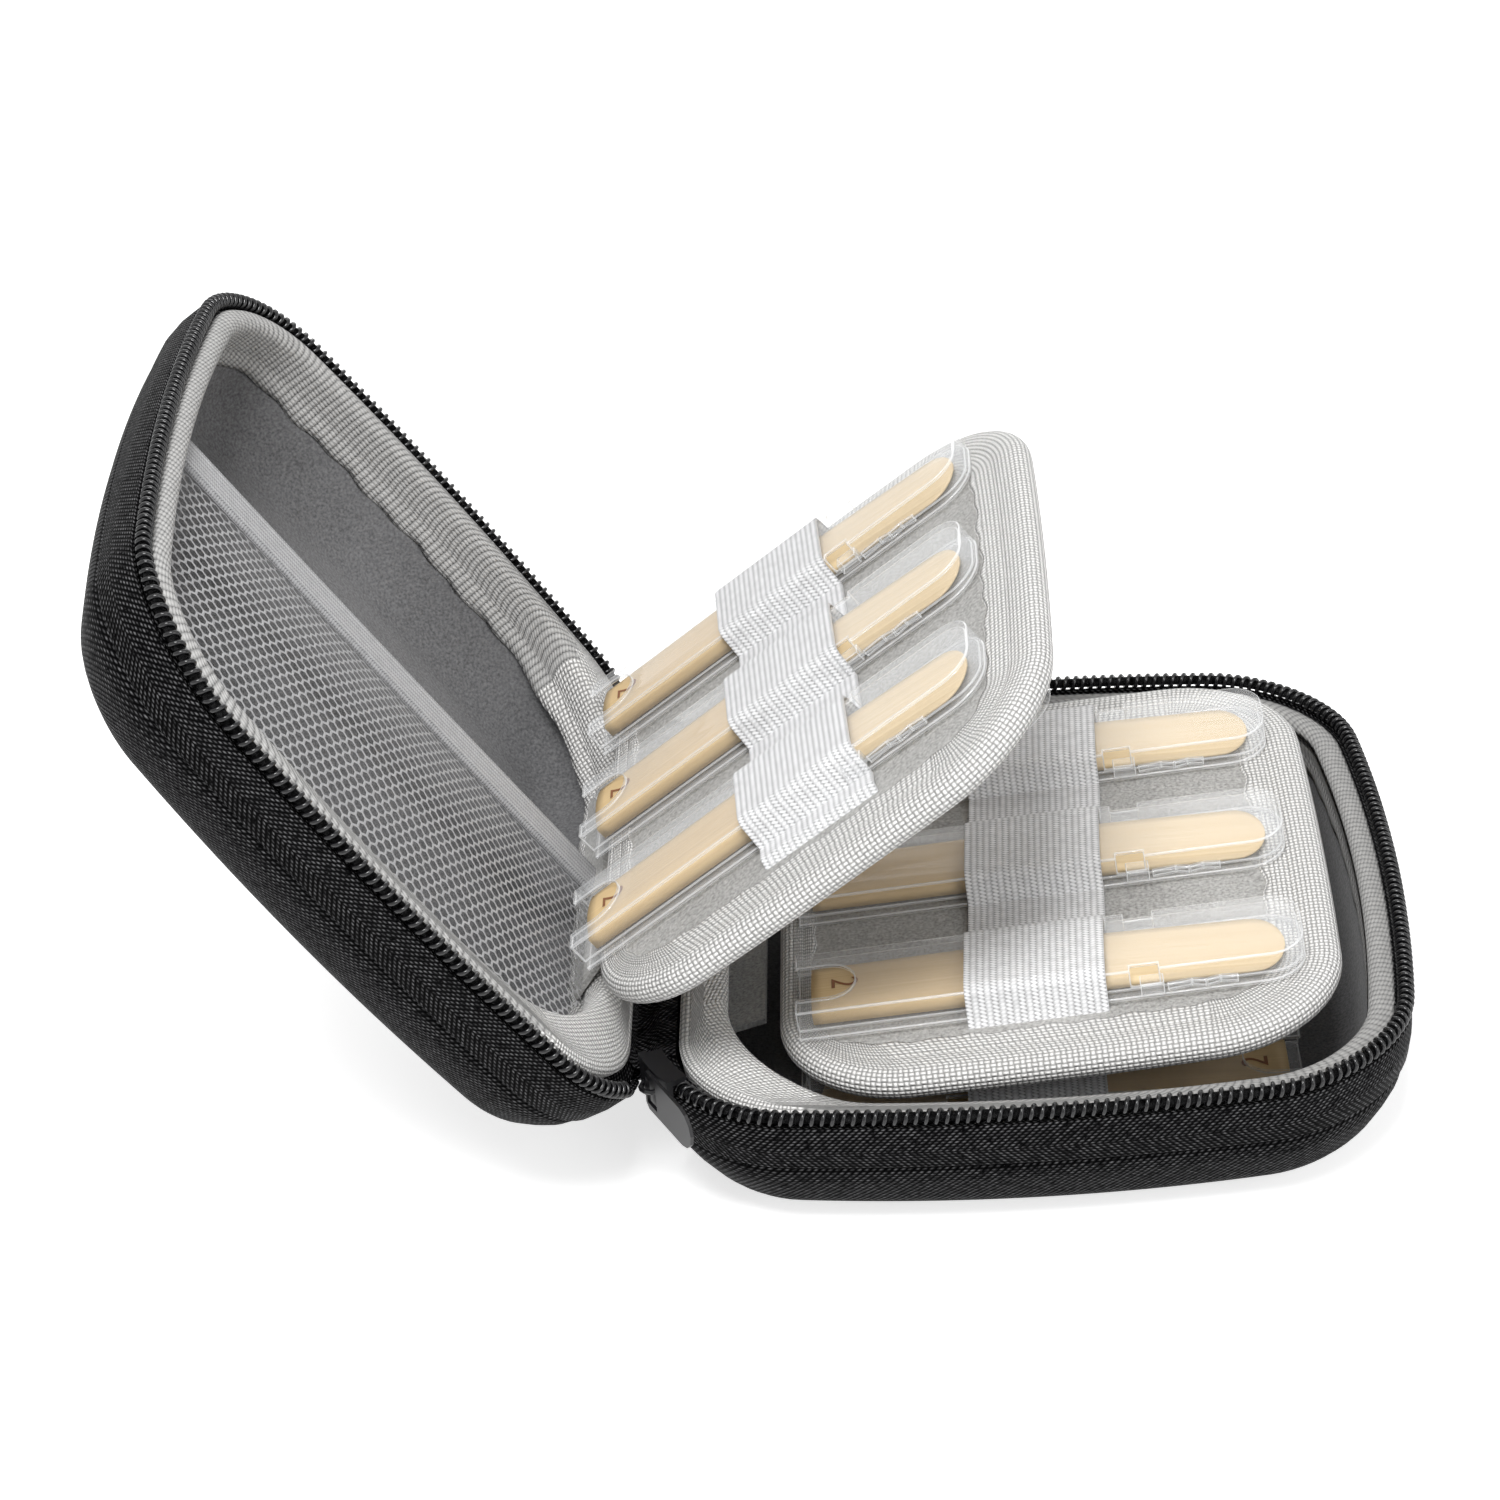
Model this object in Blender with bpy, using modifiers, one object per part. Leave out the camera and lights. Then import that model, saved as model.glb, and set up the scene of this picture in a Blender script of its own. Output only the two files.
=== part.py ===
"""A zipped case for clarinet reeds, open on a table: two moulded shells joined by a fabric hinge,
two swinging pages and the case's floor, each with clear holders under an elastic strap.

The lower shell's flat base is centred on the origin and rests on z = 0. The hinge side is at -X, the
free side at +X, and the zip's near end is at -Y. Both shells are modelled in a rim frame: x runs from
the hinge side's rim line towards the free side, y along the hinge, and z up from the rim's plane.
"""

import math

import bmesh
import bpy
from mathutils import Vector

MM = 0.001
CLEARANCE = 0.3 * MM

# The rim line, which is the centre line of the zip's coil. Its length and width follow from the pages
RIM_END_ROOM = 6.6 * MM
RIM_SIDE_ROOM = 5.85 * MM
RIM_BOW = 4.3 * MM
RIM_CORNER = 18.4 * MM
RIM_HEIGHT = 21.5 * MM

# The moulded shells and their lining. A lean is how far a wall has come in by the base's depth
SHELL_INSET = 0.4 * MM
SHELL_WALL = 2.6 * MM
SHELL_DROP = 1.6 * MM
LOWER_LEAN = 6.5 * MM
LOWER_HINGE_LEAN = 11.0 * MM
LID_LEAN = 10.5 * MM
LID_HINGE_LEAN = 6.5 * MM
LEAN_POWER = 3
BASE_EDGE = 6.0 * MM
LINING_THICKNESS = 0.8 * MM

# The woven binding on each rim, which is a fat roll along the hinge
BINDING_RISE = 0.8 * MM
BINDING_SHOULDER = 0.7 * MM
BINDING_START = 1.55 * MM
BINDING_INSET = 5.0 * MM
BINDING_DEPTH = 8.0 * MM
ROLL_START = 3.7 * MM
ROLL_INSET = 10.2 * MM
ROLL_WAIST = 9.0 * MM
ROLL_WAIST_DEPTH = 5.7 * MM
ROLL_CORNER = 22.0 * MM

# The zip. Its bowed corners are, within 0.2 mm, wider arcs whose centres lie this far from the corners' own
ZIP_TURN_SHIFT_X = 4.04 * MM
ZIP_TURN_SHIFT_Y = 1.1 * MM
ZIP_TURN_GROWTH = 4.2 * MM
COIL_RADIUS = 1.2 * MM
TAPE_THICKNESS = 0.9 * MM
TAPE_WIDTH = 7.0 * MM
SLIDER_ANGLE = 28.0
SLIDER_LEVEL = -0.4 * MM
SLIDER_LENGTH = 8.0 * MM
SLIDER_PLATE = 1.0 * MM
SLIDER_ROOM = 0.7 * MM
SLIDER_REACH = 3.0 * MM
SLIDER_LIP = 0.8 * MM
SLIDER_LIP_REACH = 2.4 * MM
BAIL_RADIUS = 1.5 * MM
BAIL_WIRE = 0.4 * MM
PULL_LENGTH = 14.0 * MM
PULL_WIDTH = 6.4 * MM
PULL_THICKNESS = 0.5 * MM
PULL_EYE_LENGTH = 3.0 * MM
PULL_LIFT = 0.65 * MM

# The lid: its hinge line in the rim frame, the gap between the closed rims, and how far it stands open
HINGE_X = 1.0 * MM
HINGE_Z = -0.6 * MM
LID_GAP = 2.7 * MM
LID_OPEN = 123.7
GUSSET_THICKNESS = 0.6 * MM
GUSSET_END_ROOM = 15.5 * MM
GUSSET_LID_INSET = 1.2 * MM
BAND_TOP = 4.4 * MM
BAND_DEPTH = 8.0 * MM

# The mesh pocket over the lid's near half
POCKET_DROP = 2.2 * MM
POCKET_HINGE_INSET = 14.5 * MM
POCKET_THICKNESS = 0.6 * MM
POCKET_HEM = 3.8 * MM
POCKET_BAND_WIDTH = 5.5 * MM
POCKET_BAND_THICKNESS = 1.0 * MM

# The pages: a board with a velour face on each side, bound with woven tape
PAGE_END_BORDER = 7.1 * MM
PAGE_SIDE_BORDER = 18.45 * MM
PAGE_CORNER = 18.4 * MM
PAGE_BOW = 1.2 * MM
PAGE_HALF_THICKNESS = 2.1 * MM
PAGE_TAPE_THICKNESS = 0.3 * MM
PAGE_TAPE_WIDTH = 9.0 * MM
PAGE_SPINE_TAPE_WIDTH = 3.0 * MM
BOARD_THICKNESS = 1.2 * MM
FACE_THICKNESS = 0.6 * MM
PAGE_A_SPINE_X = -6.3 * MM
PAGE_A_SPINE_Z = 9.0 * MM
PAGE_A_TILT = 35.9
PAGE_B_SPINE_X = 17.9 * MM
PAGE_B_SPINE_Z = -3.4 * MM
PAGE_B_TILT = 4.8

# The fabric flap that carries each page from a seam beside the hinge roll
FLAP_SEAM_X = 9.84 * MM
FLAP_SEAM_Z = -5.73 * MM
FLAP_THICKNESS = 0.8 * MM
FLAP_END_ROOM = 21.45 * MM

# The reeds, and the clear holders that fit them
REED_LENGTH = 67.5 * MM
REED_HEEL_WIDTH = 11.4 * MM
REED_TIP_WIDTH = 13.0 * MM
REED_THICKNESS = 2.6 * MM
REED_TIP_THICKNESS = 0.3 * MM
REED_BARK_LENGTH = 31.0 * MM
REED_TIP_ARC = 4.6 * MM
HOLDER_SKIN = 0.6 * MM
HOLDER_FLANGE = 1.0 * MM
HOLDER_HEEL_ROOM = 2.2 * MM
HOLDER_TIP_ROOM = 2.1 * MM
HOLDER_CORNER = 5.0 * MM
HEEL_NOTCH_WIDTH = 8.6 * MM
HEEL_NOTCH_LENGTH = 8.4 * MM
CLIP_START = 51.5 * MM
CLIP_LENGTH = 6.0 * MM
CLIP_HEIGHT = 2.2 * MM
CLIP_WIDTH = 0.7 * MM

# Where the holders lie, and the elastic strap over each row of them
HOLDERS_IN_ROW = 3
HOLDER_PITCH = 29.5 * MM
PAGE_A_ROW_SHIFT = 5.0 * MM
PAGE_B_ROW_SHIFT = 0.5 * MM
PAGE_A_HOLDER_START = -0.8 * MM
PAGE_B_HOLDER_START = 3.0 * MM
BACK_HOLDER_START = 3.0 * MM
FLOOR_END_ROOM = 11.5 * MM
STRAP_START = 28.5 * MM
STRAP_WIDTH = 20.0 * MM
STRAP_THICKNESS = 0.5 * MM
STRAP_ROOM = 0.2 * MM
STRAP_SLOPE = 1.5 * MM
STRAP_SIDE_ROOM = 0.5 * MM
STRAP_FOOT = 1.2 * MM

# How finely curves are divided
RIM_CORNER_STEPS = 6
RIM_SIDE_STEPS = 4
PAGE_CORNER_STEPS = 4
PAGE_SIDE_STEPS = 3
EDGE_STEPS = 4
WALL_STEPS = 4
TIP_STEPS = 6
CUT_OVERRUN = 1.0 * MM
ROUND_SHARE = 0.98

# Sizes that follow from the ones above
HOLDER_INNER_WIDTH = REED_TIP_WIDTH + 2 * CLEARANCE
HOLDER_COVER_WIDTH = HOLDER_INNER_WIDTH + 2 * HOLDER_SKIN
HOLDER_WIDTH = HOLDER_COVER_WIDTH + 2 * HOLDER_FLANGE
HOLDER_LENGTH = HOLDER_HEEL_ROOM + REED_LENGTH + HOLDER_TIP_ROOM + HOLDER_SKIN
HOLDER_HEIGHT = 2 * HOLDER_SKIN + REED_THICKNESS + 2 * CLEARANCE
HOLDER_LEVEL = PAGE_HALF_THICKNESS + CLEARANCE
PAGE_LENGTH = HOLDER_LENGTH + PAGE_END_BORDER
PAGE_WIDTH = (HOLDERS_IN_ROW - 1) * HOLDER_PITCH + 2 * PAGE_SIDE_BORDER
RIM_LENGTH = PAGE_B_SPINE_X + PAGE_LENGTH + RIM_END_ROOM
RIM_WIDTH = PAGE_WIDTH + 2 * RIM_SIDE_ROOM
GUSSET_HALF_WIDTH = RIM_WIDTH / 2 - GUSSET_END_ROOM
FLAP_HALF_WIDTH = PAGE_WIDTH / 2 - FLAP_END_ROOM
FLOOR_HOLDER_END = RIM_LENGTH - FLOOR_END_ROOM
ZIP_TURN_X = RIM_CORNER + ZIP_TURN_SHIFT_X
ZIP_TURN_Y = RIM_CORNER + ZIP_TURN_SHIFT_Y - RIM_WIDTH / 2
ZIP_TURN_RADIUS = RIM_CORNER + ZIP_TURN_GROWTH
STRAP_ROOF = HOLDER_HEIGHT + STRAP_ROOM
FLOOR_LEVEL = RIM_HEIGHT - SHELL_WALL - CLEARANCE - LINING_THICKNESS
ROW_OFFSETS = [
    (number - (HOLDERS_IN_ROW - 1) / 2) * HOLDER_PITCH for number in range(HOLDERS_IN_ROW)
]

# Colour, roughness and metallic value of each finish, and how much it hides
FINISHES = {
    "black_twill": ((0.012, 0.012, 0.013), 0.75, 0.0, 1.0),
    "black_tape": ((0.010, 0.010, 0.011), 0.65, 0.0, 1.0),
    "black_coil": ((0.015, 0.015, 0.017), 0.30, 0.0, 1.0),
    "black_metal": ((0.010, 0.010, 0.011), 0.35, 0.6, 1.0),
    "grey_velour": ((0.26, 0.26, 0.26), 0.95, 0.0, 1.0),
    "light_velour": ((0.42, 0.41, 0.40), 0.95, 0.0, 1.0),
    "silver_binding": ((0.58, 0.57, 0.55), 0.55, 0.0, 1.0),
    "grey_mesh": ((0.45, 0.45, 0.45), 0.70, 0.0, 1.0),
    "grey_elastic": ((0.60, 0.60, 0.60), 0.80, 0.0, 1.0),
    "board_grey": ((0.30, 0.30, 0.31), 0.80, 0.0, 1.0),
    "clear_plastic": ((0.90, 0.92, 0.94), 0.08, 0.0, 0.35),
    "cane": ((0.80, 0.58, 0.28), 0.55, 0.0, 1.0),
}


def clear_scene():
    for old in list(bpy.data.objects):
        bpy.data.objects.remove(old, do_unlink=True)


def new_collection(name):
    collection = bpy.data.collections.new(name)
    bpy.context.scene.collection.children.link(collection)
    return collection


def finish(name):
    """The Principled material of this name, made the first time it is asked for."""
    found = bpy.data.materials.get(name)
    if found:
        return found
    colour, roughness, metallic, alpha = FINISHES[name]
    made = bpy.data.materials.new(name)
    made.use_nodes = True
    shader = made.node_tree.nodes["Principled BSDF"]
    shader.inputs["Base Color"].default_value = (*colour, 1.0)
    shader.inputs["Roughness"].default_value = roughness
    shader.inputs["Metallic"].default_value = metallic
    shader.inputs["Alpha"].default_value = alpha
    return made


def place(name, mesh, parent, look, location=(0, 0, 0), turn=(0, 0, 0)):
    """Puts a mesh or curve in the scene as a named piece, under the empty that carries it."""
    piece = bpy.data.objects.new(name, mesh)
    PIECES.objects.link(piece)
    piece.parent = parent
    piece.location = location
    piece.rotation_euler = turn
    if not mesh.materials:
        mesh.materials.append(finish(look))
    return piece


def empty(name, parent, location, turn=(0, 0, 0)):
    holder = bpy.data.objects.new(name, None)
    PIECES.objects.link(holder)
    holder.parent = parent
    holder.location = location
    holder.rotation_euler = turn
    return holder


def mesh_from(bm, name, smooth=False):
    """Writes a bmesh to a mesh with its faces pointing outwards."""
    bmesh.ops.recalc_face_normals(bm, faces=bm.faces)
    mesh = bpy.data.meshes.new(name)
    bm.to_mesh(mesh)
    bm.free()
    if smooth:
        mesh.shade_smooth()
        mesh.set_sharp_from_angle(angle=math.radians(40))
    return mesh


def rounded_outline(low, high, half, corners, bow, steps):
    """A rounded rectangle, anticlockwise from the hinge side's near end. Its three free sides bow out."""
    hinge_corner, free_corner = corners
    corner_steps, side_steps = steps
    centres = (
        (low + hinge_corner, hinge_corner - half, hinge_corner, 180),
        (high - free_corner, free_corner - half, free_corner, 270),
        (high - free_corner, half - free_corner, free_corner, 0),
        (low + hinge_corner, half - hinge_corner, hinge_corner, 90),
    )
    arcs = []
    for x, y, radius, start in centres:
        turns = [math.radians(start + 90 * step / corner_steps) for step in range(corner_steps + 1)]
        arcs.append([Vector((x + radius * math.cos(t), y + radius * math.sin(t))) for t in turns])
    points = []
    for arc, after in zip(arcs, arcs[1:] + arcs[:1]):
        points += arc
        points += [arc[-1].lerp(after[0], step / side_steps) for step in range(1, side_steps)]
    bowed = []
    for point in points:
        u, v = (point.x - low) / (high - low), point.y / half
        bowed.append(Vector((point.x + bow * u * (1 - v * v), point.y + bow * v * 4 * u * (1 - u))))
    return bowed


def lean_of(side):
    """How far the walls of one half come in by the base, on the hinge side and on the other three."""
    return (LID_HINGE_LEAN, LID_LEAN) if side == "lid" else (LOWER_HINGE_LEAN, LOWER_LEAN)


def lean_at(side, height):
    """How far the half's walls have come in at a height: slowly under the rim, faster near the base."""
    share = (max(0, -height) / RIM_HEIGHT) ** LEAN_POWER
    return [lean * share for lean in lean_of(side)]


def wall_outline(side, inset, height, hinge_inset=None, hinge_corner=None):
    """The rim line moved inwards by an inset and the walls' lean. A hinge inset is taken as it stands."""
    hinge_lean, free_lean = lean_at(side, height)
    hinge = inset + hinge_lean if hinge_inset is None else hinge_inset
    free = inset + free_lean
    if hinge_corner is None:
        hinge_corner = RIM_CORNER - (hinge + free) / 2
    outline = rounded_outline(
        hinge, RIM_LENGTH - free, RIM_WIDTH / 2 - free, (hinge_corner, RIM_CORNER - free),
        RIM_BOW, (RIM_CORNER_STEPS, RIM_SIDE_STEPS),
    )
    return at_height(outline, height)


def rim_outline(inset, hinge_inset=None, hinge_corner=None):
    """The rim line moved inwards, by its own inset on the hinge side where one is given."""
    corner = RIM_CORNER - inset
    return rounded_outline(
        inset if hinge_inset is None else hinge_inset,
        RIM_LENGTH - inset,
        RIM_WIDTH / 2 - inset,
        (corner if hinge_corner is None else hinge_corner, corner),
        RIM_BOW,
        (RIM_CORNER_STEPS, RIM_SIDE_STEPS),
    )


def page_outline(inset, spine_inset=None):
    """The page's edge line moved inwards, by its own inset at the spine where one is given."""
    return rounded_outline(
        inset if spine_inset is None else spine_inset,
        PAGE_LENGTH - inset,
        PAGE_WIDTH / 2 - inset,
        (PAGE_CORNER - inset, PAGE_CORNER - inset),
        PAGE_BOW,
        (PAGE_CORNER_STEPS, PAGE_SIDE_STEPS),
    )


def at_height(outline, height):
    return [Vector((point.x, point.y, height)) for point in outline]


def loft(bm, rings, around=True, ring_closed=True):
    """Joins rings of equal length with quads. around also joins the last ring to the first."""
    rows = [[bm.verts.new(point) for point in ring] for ring in rings]
    pairs = list(zip(rows, rows[1:])) + ([(rows[-1], rows[0])] if around else [])
    for low, high in pairs:
        count = len(low) if ring_closed else len(low) - 1
        for index in range(count):
            after = (index + 1) % len(low)
            bm.faces.new((low[index], low[after], high[after], high[index]))
    return rows


def tray_surface(side, inset, top, depth, edge):
    """The rings of a tray's surface from its base up: a rounded base edge, then the leaning wall."""
    rings = []
    for step in range(EDGE_STEPS + 1):
        turn = math.radians(90 - 90 * step / EDGE_STEPS)
        rings.append(
            wall_outline(side, inset + edge * (1 - math.cos(turn)), edge * (1 - math.sin(turn)) - depth)
        )
    foot = edge - depth
    heights = [foot + (top - foot) * step / WALL_STEPS for step in range(1, WALL_STEPS + 1)]
    return rings + [wall_outline(side, inset, height) for height in heights]


def moulded_tray(name, side, parent, look, inset, top, depth, edge, thickness):
    """A tray whose walls lean in: an outer surface, then an inner one moved in by the thickness."""
    outer = tray_surface(side, inset, top, depth, edge)
    inner = tray_surface(side, inset + thickness, top, depth - thickness, edge - thickness)
    bm = bmesh.new()
    rows = loft(bm, outer + inner[::-1], around=False)
    bm.faces.new(reversed(rows[0]))
    bm.faces.new(rows[-1])
    return place(name, mesh_from(bm, name, smooth=True), parent, look)


def rim_binding(side, parent):
    """The woven ribbon over the shell's edge: a hook-shaped section that fattens to a roll at the hinge."""
    name = f"{side}_binding"
    lap = SHELL_INSET + SHELL_WALL + CLEARANCE
    shoulder = BINDING_RISE - BINDING_SHOULDER
    profile = (
        (BINDING_START, ROLL_START, CLEARANCE - SHELL_DROP, None),
        (BINDING_START, ROLL_START, shoulder, None),
        (BINDING_START + BINDING_SHOULDER, ROLL_START + 2 * BINDING_SHOULDER, BINDING_RISE, None),
        (BINDING_INSET - BINDING_SHOULDER, ROLL_INSET - 2 * BINDING_SHOULDER, BINDING_RISE, ROLL_CORNER),
        (BINDING_INSET, ROLL_INSET, -BINDING_SHOULDER, ROLL_CORNER),
        (BINDING_INSET, ROLL_INSET, -ROLL_WAIST_DEPTH / 2, ROLL_CORNER),
        (BINDING_INSET, ROLL_WAIST, -ROLL_WAIST_DEPTH, ROLL_CORNER),
        (BINDING_INSET, ROLL_WAIST, -BINDING_DEPTH, ROLL_CORNER),
        (lap, None, -BINDING_DEPTH, None),
        (lap, None, -BINDING_DEPTH / 2, None),
        (lap, None, CLEARANCE - SHELL_DROP, None),
    )
    rings = [
        wall_outline(side, inset, height, hinge_inset, corner)
        for inset, hinge_inset, height, corner in profile
    ]
    bm = bmesh.new()
    loft(bm, rings)
    return place(name, mesh_from(bm, name, smooth=True), parent, "silver_binding")


def zip_run(outline, skipped):
    """The stretch of a rim outline that the zip follows, from one hinge corner round to the other."""
    hinge_side_points = RIM_SIDE_STEPS - 1
    return outline[skipped : len(outline) - hinge_side_points - skipped]


def zip_tape(side, parent):
    """The woven tape over the outside of the shell's wall, just under the coil."""
    name = f"{side}_zip_tape"
    inner = SHELL_INSET - CLEARANCE
    outer = inner - TAPE_THICKNESS
    top = -COIL_RADIUS - CLEARANCE
    corners = ((outer, top), (outer, top - TAPE_WIDTH), (inner, top - TAPE_WIDTH), (inner, top))
    rings = [zip_run(wall_outline(side, inset, height), 1) for inset, height in corners]
    bm = bmesh.new()
    rows = loft(bm, rings, ring_closed=False)
    bm.faces.new([row[0] for row in rows])
    bm.faces.new([row[-1] for row in rows])
    return place(name, mesh_from(bm, name), parent, "black_tape")


def zip_coil(name, parent):
    """The coil's solid outline: a tube along the rim line."""
    curve = bpy.data.curves.new(name, "CURVE")
    curve.dimensions = "3D"
    curve.bevel_depth = COIL_RADIUS
    curve.bevel_resolution = 2
    curve.use_fill_caps = True
    run = zip_run(rim_outline(0), RIM_CORNER_STEPS // 2)
    spline = curve.splines.new("POLY")
    spline.points.add(len(run) - 1)
    for point, place_on_rim in zip(spline.points, run):
        point.co = (place_on_rim.x, place_on_rim.y, 0, 1)
    return place(name, curve, parent, "black_coil")


def shell_half(side, parent):
    """One half of the case: moulded shell, lining, binding, zip tape and coil."""
    lining_inset = SHELL_INSET + SHELL_WALL + CLEARANCE
    moulded_tray(
        f"{side}_shell", side, parent, "black_twill",
        SHELL_INSET, -SHELL_DROP, RIM_HEIGHT, BASE_EDGE, SHELL_WALL,
    )
    moulded_tray(
        f"{side}_lining", side, parent, "grey_velour",
        lining_inset, -BINDING_DEPTH - CLEARANCE, RIM_HEIGHT - SHELL_WALL - CLEARANCE,
        BASE_EDGE - SHELL_WALL - CLEARANCE, LINING_THICKNESS,
    )
    rim_binding(side, parent)
    zip_tape(side, parent)
    zip_coil(f"{side}_zip_coil", parent)


def ribbon(name, parent, look, path, start, width, thickness, along, offset=0.0, location=(0, 0, 0),
           turn=(0, 0, 0)):
    """A ribbon: a line of (across, up) points, drawn out by width along an axis and given its thickness."""
    bm = bmesh.new()
    if along == "X":
        line = [bm.verts.new((start, across, up)) for across, up in path]
        step = Vector((width, 0, 0))
    else:
        line = [bm.verts.new((across, start, up)) for across, up in path]
        step = Vector((0, width, 0))
    edges = [bm.edges.new(pair) for pair in zip(line, line[1:])]
    drawn = bmesh.ops.extrude_edge_only(bm, edges=edges)["geom"]
    bmesh.ops.translate(bm, verts=[v for v in drawn if isinstance(v, bmesh.types.BMVert)], vec=step)
    bm.normal_update()
    if sum(face.calc_area() * face.normal.z for face in bm.faces) < 0:
        bmesh.ops.reverse_faces(bm, faces=bm.faces[:])
    mesh = bpy.data.meshes.new(name)
    bm.to_mesh(mesh)
    bm.free()
    piece = place(name, mesh, parent, look, location, turn)
    body = piece.modifiers.new("Thickness", "SOLIDIFY")
    body.thickness = thickness
    body.offset = offset
    body.use_even_offset = True
    return piece


def in_rim_frame(frame, point):
    """A point of the lid's frame, as an (x, z) pair of the lower shell's rim frame."""
    moved = RIM.matrix_world.inverted() @ frame.matrix_world @ Vector((point[0], 0, point[1]))
    return moved.x, moved.z


def fabric_hinge(lid):
    """The gusset between the two rolls, and the band that joins the shells behind it."""
    half = GUSSET_THICKNESS / 2
    over_wall = CLEARANCE - SHELL_DROP + half
    inner, outer = ROLL_START - CLEARANCE - half, SHELL_INSET
    gusset = [(inner, over_wall), (outer, over_wall)]
    gusset += [in_rim_frame(lid, (GUSSET_LID_INSET, over_wall)), in_rim_frame(lid, (inner, over_wall))]
    behind = SHELL_INSET - CLEARANCE - half
    lid_top = 2 * HINGE_Z - SHELL_DROP
    band = [(behind + lean_at("lower", height)[0], height) for height in (-BAND_DEPTH, -BAND_TOP)]
    band += [
        in_rim_frame(lid, (behind + lean_at("lid", height)[0], height))
        for height in (lid_top, -BAND_DEPTH)
    ]
    for name, path in (("hinge_gusset", gusset), ("hinge_band", band)):
        ribbon(
            name, RIM, "black_tape", path, -GUSSET_HALF_WIDTH, 2 * GUSSET_HALF_WIDTH,
            GUSSET_THICKNESS, "Y",
        )


def mesh_pocket(lid):
    """The pocket's mesh across the lid's near half, and the elastic band along its mouth.
    The lid's frame is turned over, so the near side is at +y there."""
    lean = lean_at("lid", -POCKET_DROP - POCKET_THICKNESS)[1]
    inset, hinge_inset = BINDING_INSET + CLEARANCE + lean, POCKET_HINGE_INSET
    ring = rim_outline(inset, hinge_inset, ROLL_CORNER)
    half = RIM_WIDTH / 2 - inset
    free_x = RIM_LENGTH - inset + RIM_BOW * (1 - (POCKET_HEM / half) ** 2)
    near = [point for point in ring if point.y > POCKET_HEM + CLEARANCE]
    near = [Vector((free_x, POCKET_HEM))] + near + [Vector((hinge_inset, POCKET_HEM))]
    bm = bmesh.new()
    bm.faces.new([bm.verts.new(point) for point in at_height(near, -POCKET_DROP)])
    mesh = bpy.data.meshes.new("mesh_pocket")
    bm.to_mesh(mesh)
    bm.free()
    piece = place("mesh_pocket", mesh, lid, "grey_mesh")
    body = piece.modifiers.new("Thickness", "SOLIDIFY")
    body.thickness = POCKET_THICKNESS
    body.offset = -1
    hem_far = POCKET_HEM - CLEARANCE
    band_free_x = RIM_LENGTH - inset + RIM_BOW * (1 - (POCKET_BAND_WIDTH / half) ** 2)
    bm = bmesh.new()
    bmesh.ops.create_cube(bm, size=1.0)
    size = (band_free_x - hinge_inset, POCKET_BAND_WIDTH, POCKET_BAND_THICKNESS)
    bmesh.ops.scale(bm, verts=bm.verts[:], vec=size)
    centre = ((band_free_x + hinge_inset) / 2, hem_far - POCKET_BAND_WIDTH / 2, -POCKET_DROP)
    bmesh.ops.translate(bm, verts=bm.verts[:], vec=centre)
    place("mesh_pocket_band", mesh_from(bm, "mesh_pocket_band"), lid, "grey_elastic")


def slider_section(turn):
    """The slider's section at one angle round the rim's corner: an outer plate with a lip over the coil."""
    inside = ZIP_TURN_RADIUS + COIL_RADIUS + SLIDER_ROOM
    outside = inside + SLIDER_PLATE
    middle = SLIDER_LEVEL
    lip_low = COIL_RADIUS + CLEARANCE
    lip_high = lip_low + SLIDER_LIP
    lip_end = inside - SLIDER_LIP_REACH
    profile = (
        (inside, middle - SLIDER_REACH), (outside, middle - SLIDER_REACH),
        (outside, middle + SLIDER_REACH), (inside, middle + SLIDER_REACH),
        (inside, lip_high), (lip_end, lip_high), (lip_end, lip_low), (inside, lip_low),
    )
    return [Vector((r * math.cos(turn), r * math.sin(turn), z)) for r, z in profile]


def zip_slider(axis):
    """The slider hugs the outside of the zip's corner. Its parent empty stands on the turn's centre."""
    half_turn = SLIDER_LENGTH / 2 / ZIP_TURN_RADIUS
    middle_turn = math.radians(180 + SLIDER_ANGLE)
    steps = 4
    turns = [middle_turn + half_turn * (2 * step / steps - 1) for step in range(steps + 1)]
    bm = bmesh.new()
    rows = loft(bm, [slider_section(turn) for turn in turns], around=False)
    bm.faces.new(rows[0])
    bm.faces.new(rows[-1])
    slider = place("zip_slider", mesh_from(bm, "zip_slider"), axis, "black_metal")
    plate_face = ZIP_TURN_RADIUS + COIL_RADIUS + SLIDER_ROOM + SLIDER_PLATE
    bpy.ops.mesh.primitive_torus_add(
        major_radius=BAIL_RADIUS, minor_radius=BAIL_WIRE, major_segments=12, minor_segments=6,
    )
    bail = bpy.context.object
    bail.name = "bail_cutter"
    for collection in list(bail.users_collection):
        collection.objects.unlink(bail)
    CUTTERS.objects.link(bail)
    bail.parent = axis
    bail.location = (plate_face * math.cos(middle_turn), plate_face * math.sin(middle_turn), SLIDER_LEVEL)
    bail.rotation_euler = (0, 0, middle_turn)
    bail.hide_render = True
    bail.display_type = "WIRE"
    join = slider.modifiers.new("Bail", "BOOLEAN")
    join.operation = "UNION"
    join.object = bail
    return plate_face, middle_turn


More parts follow.
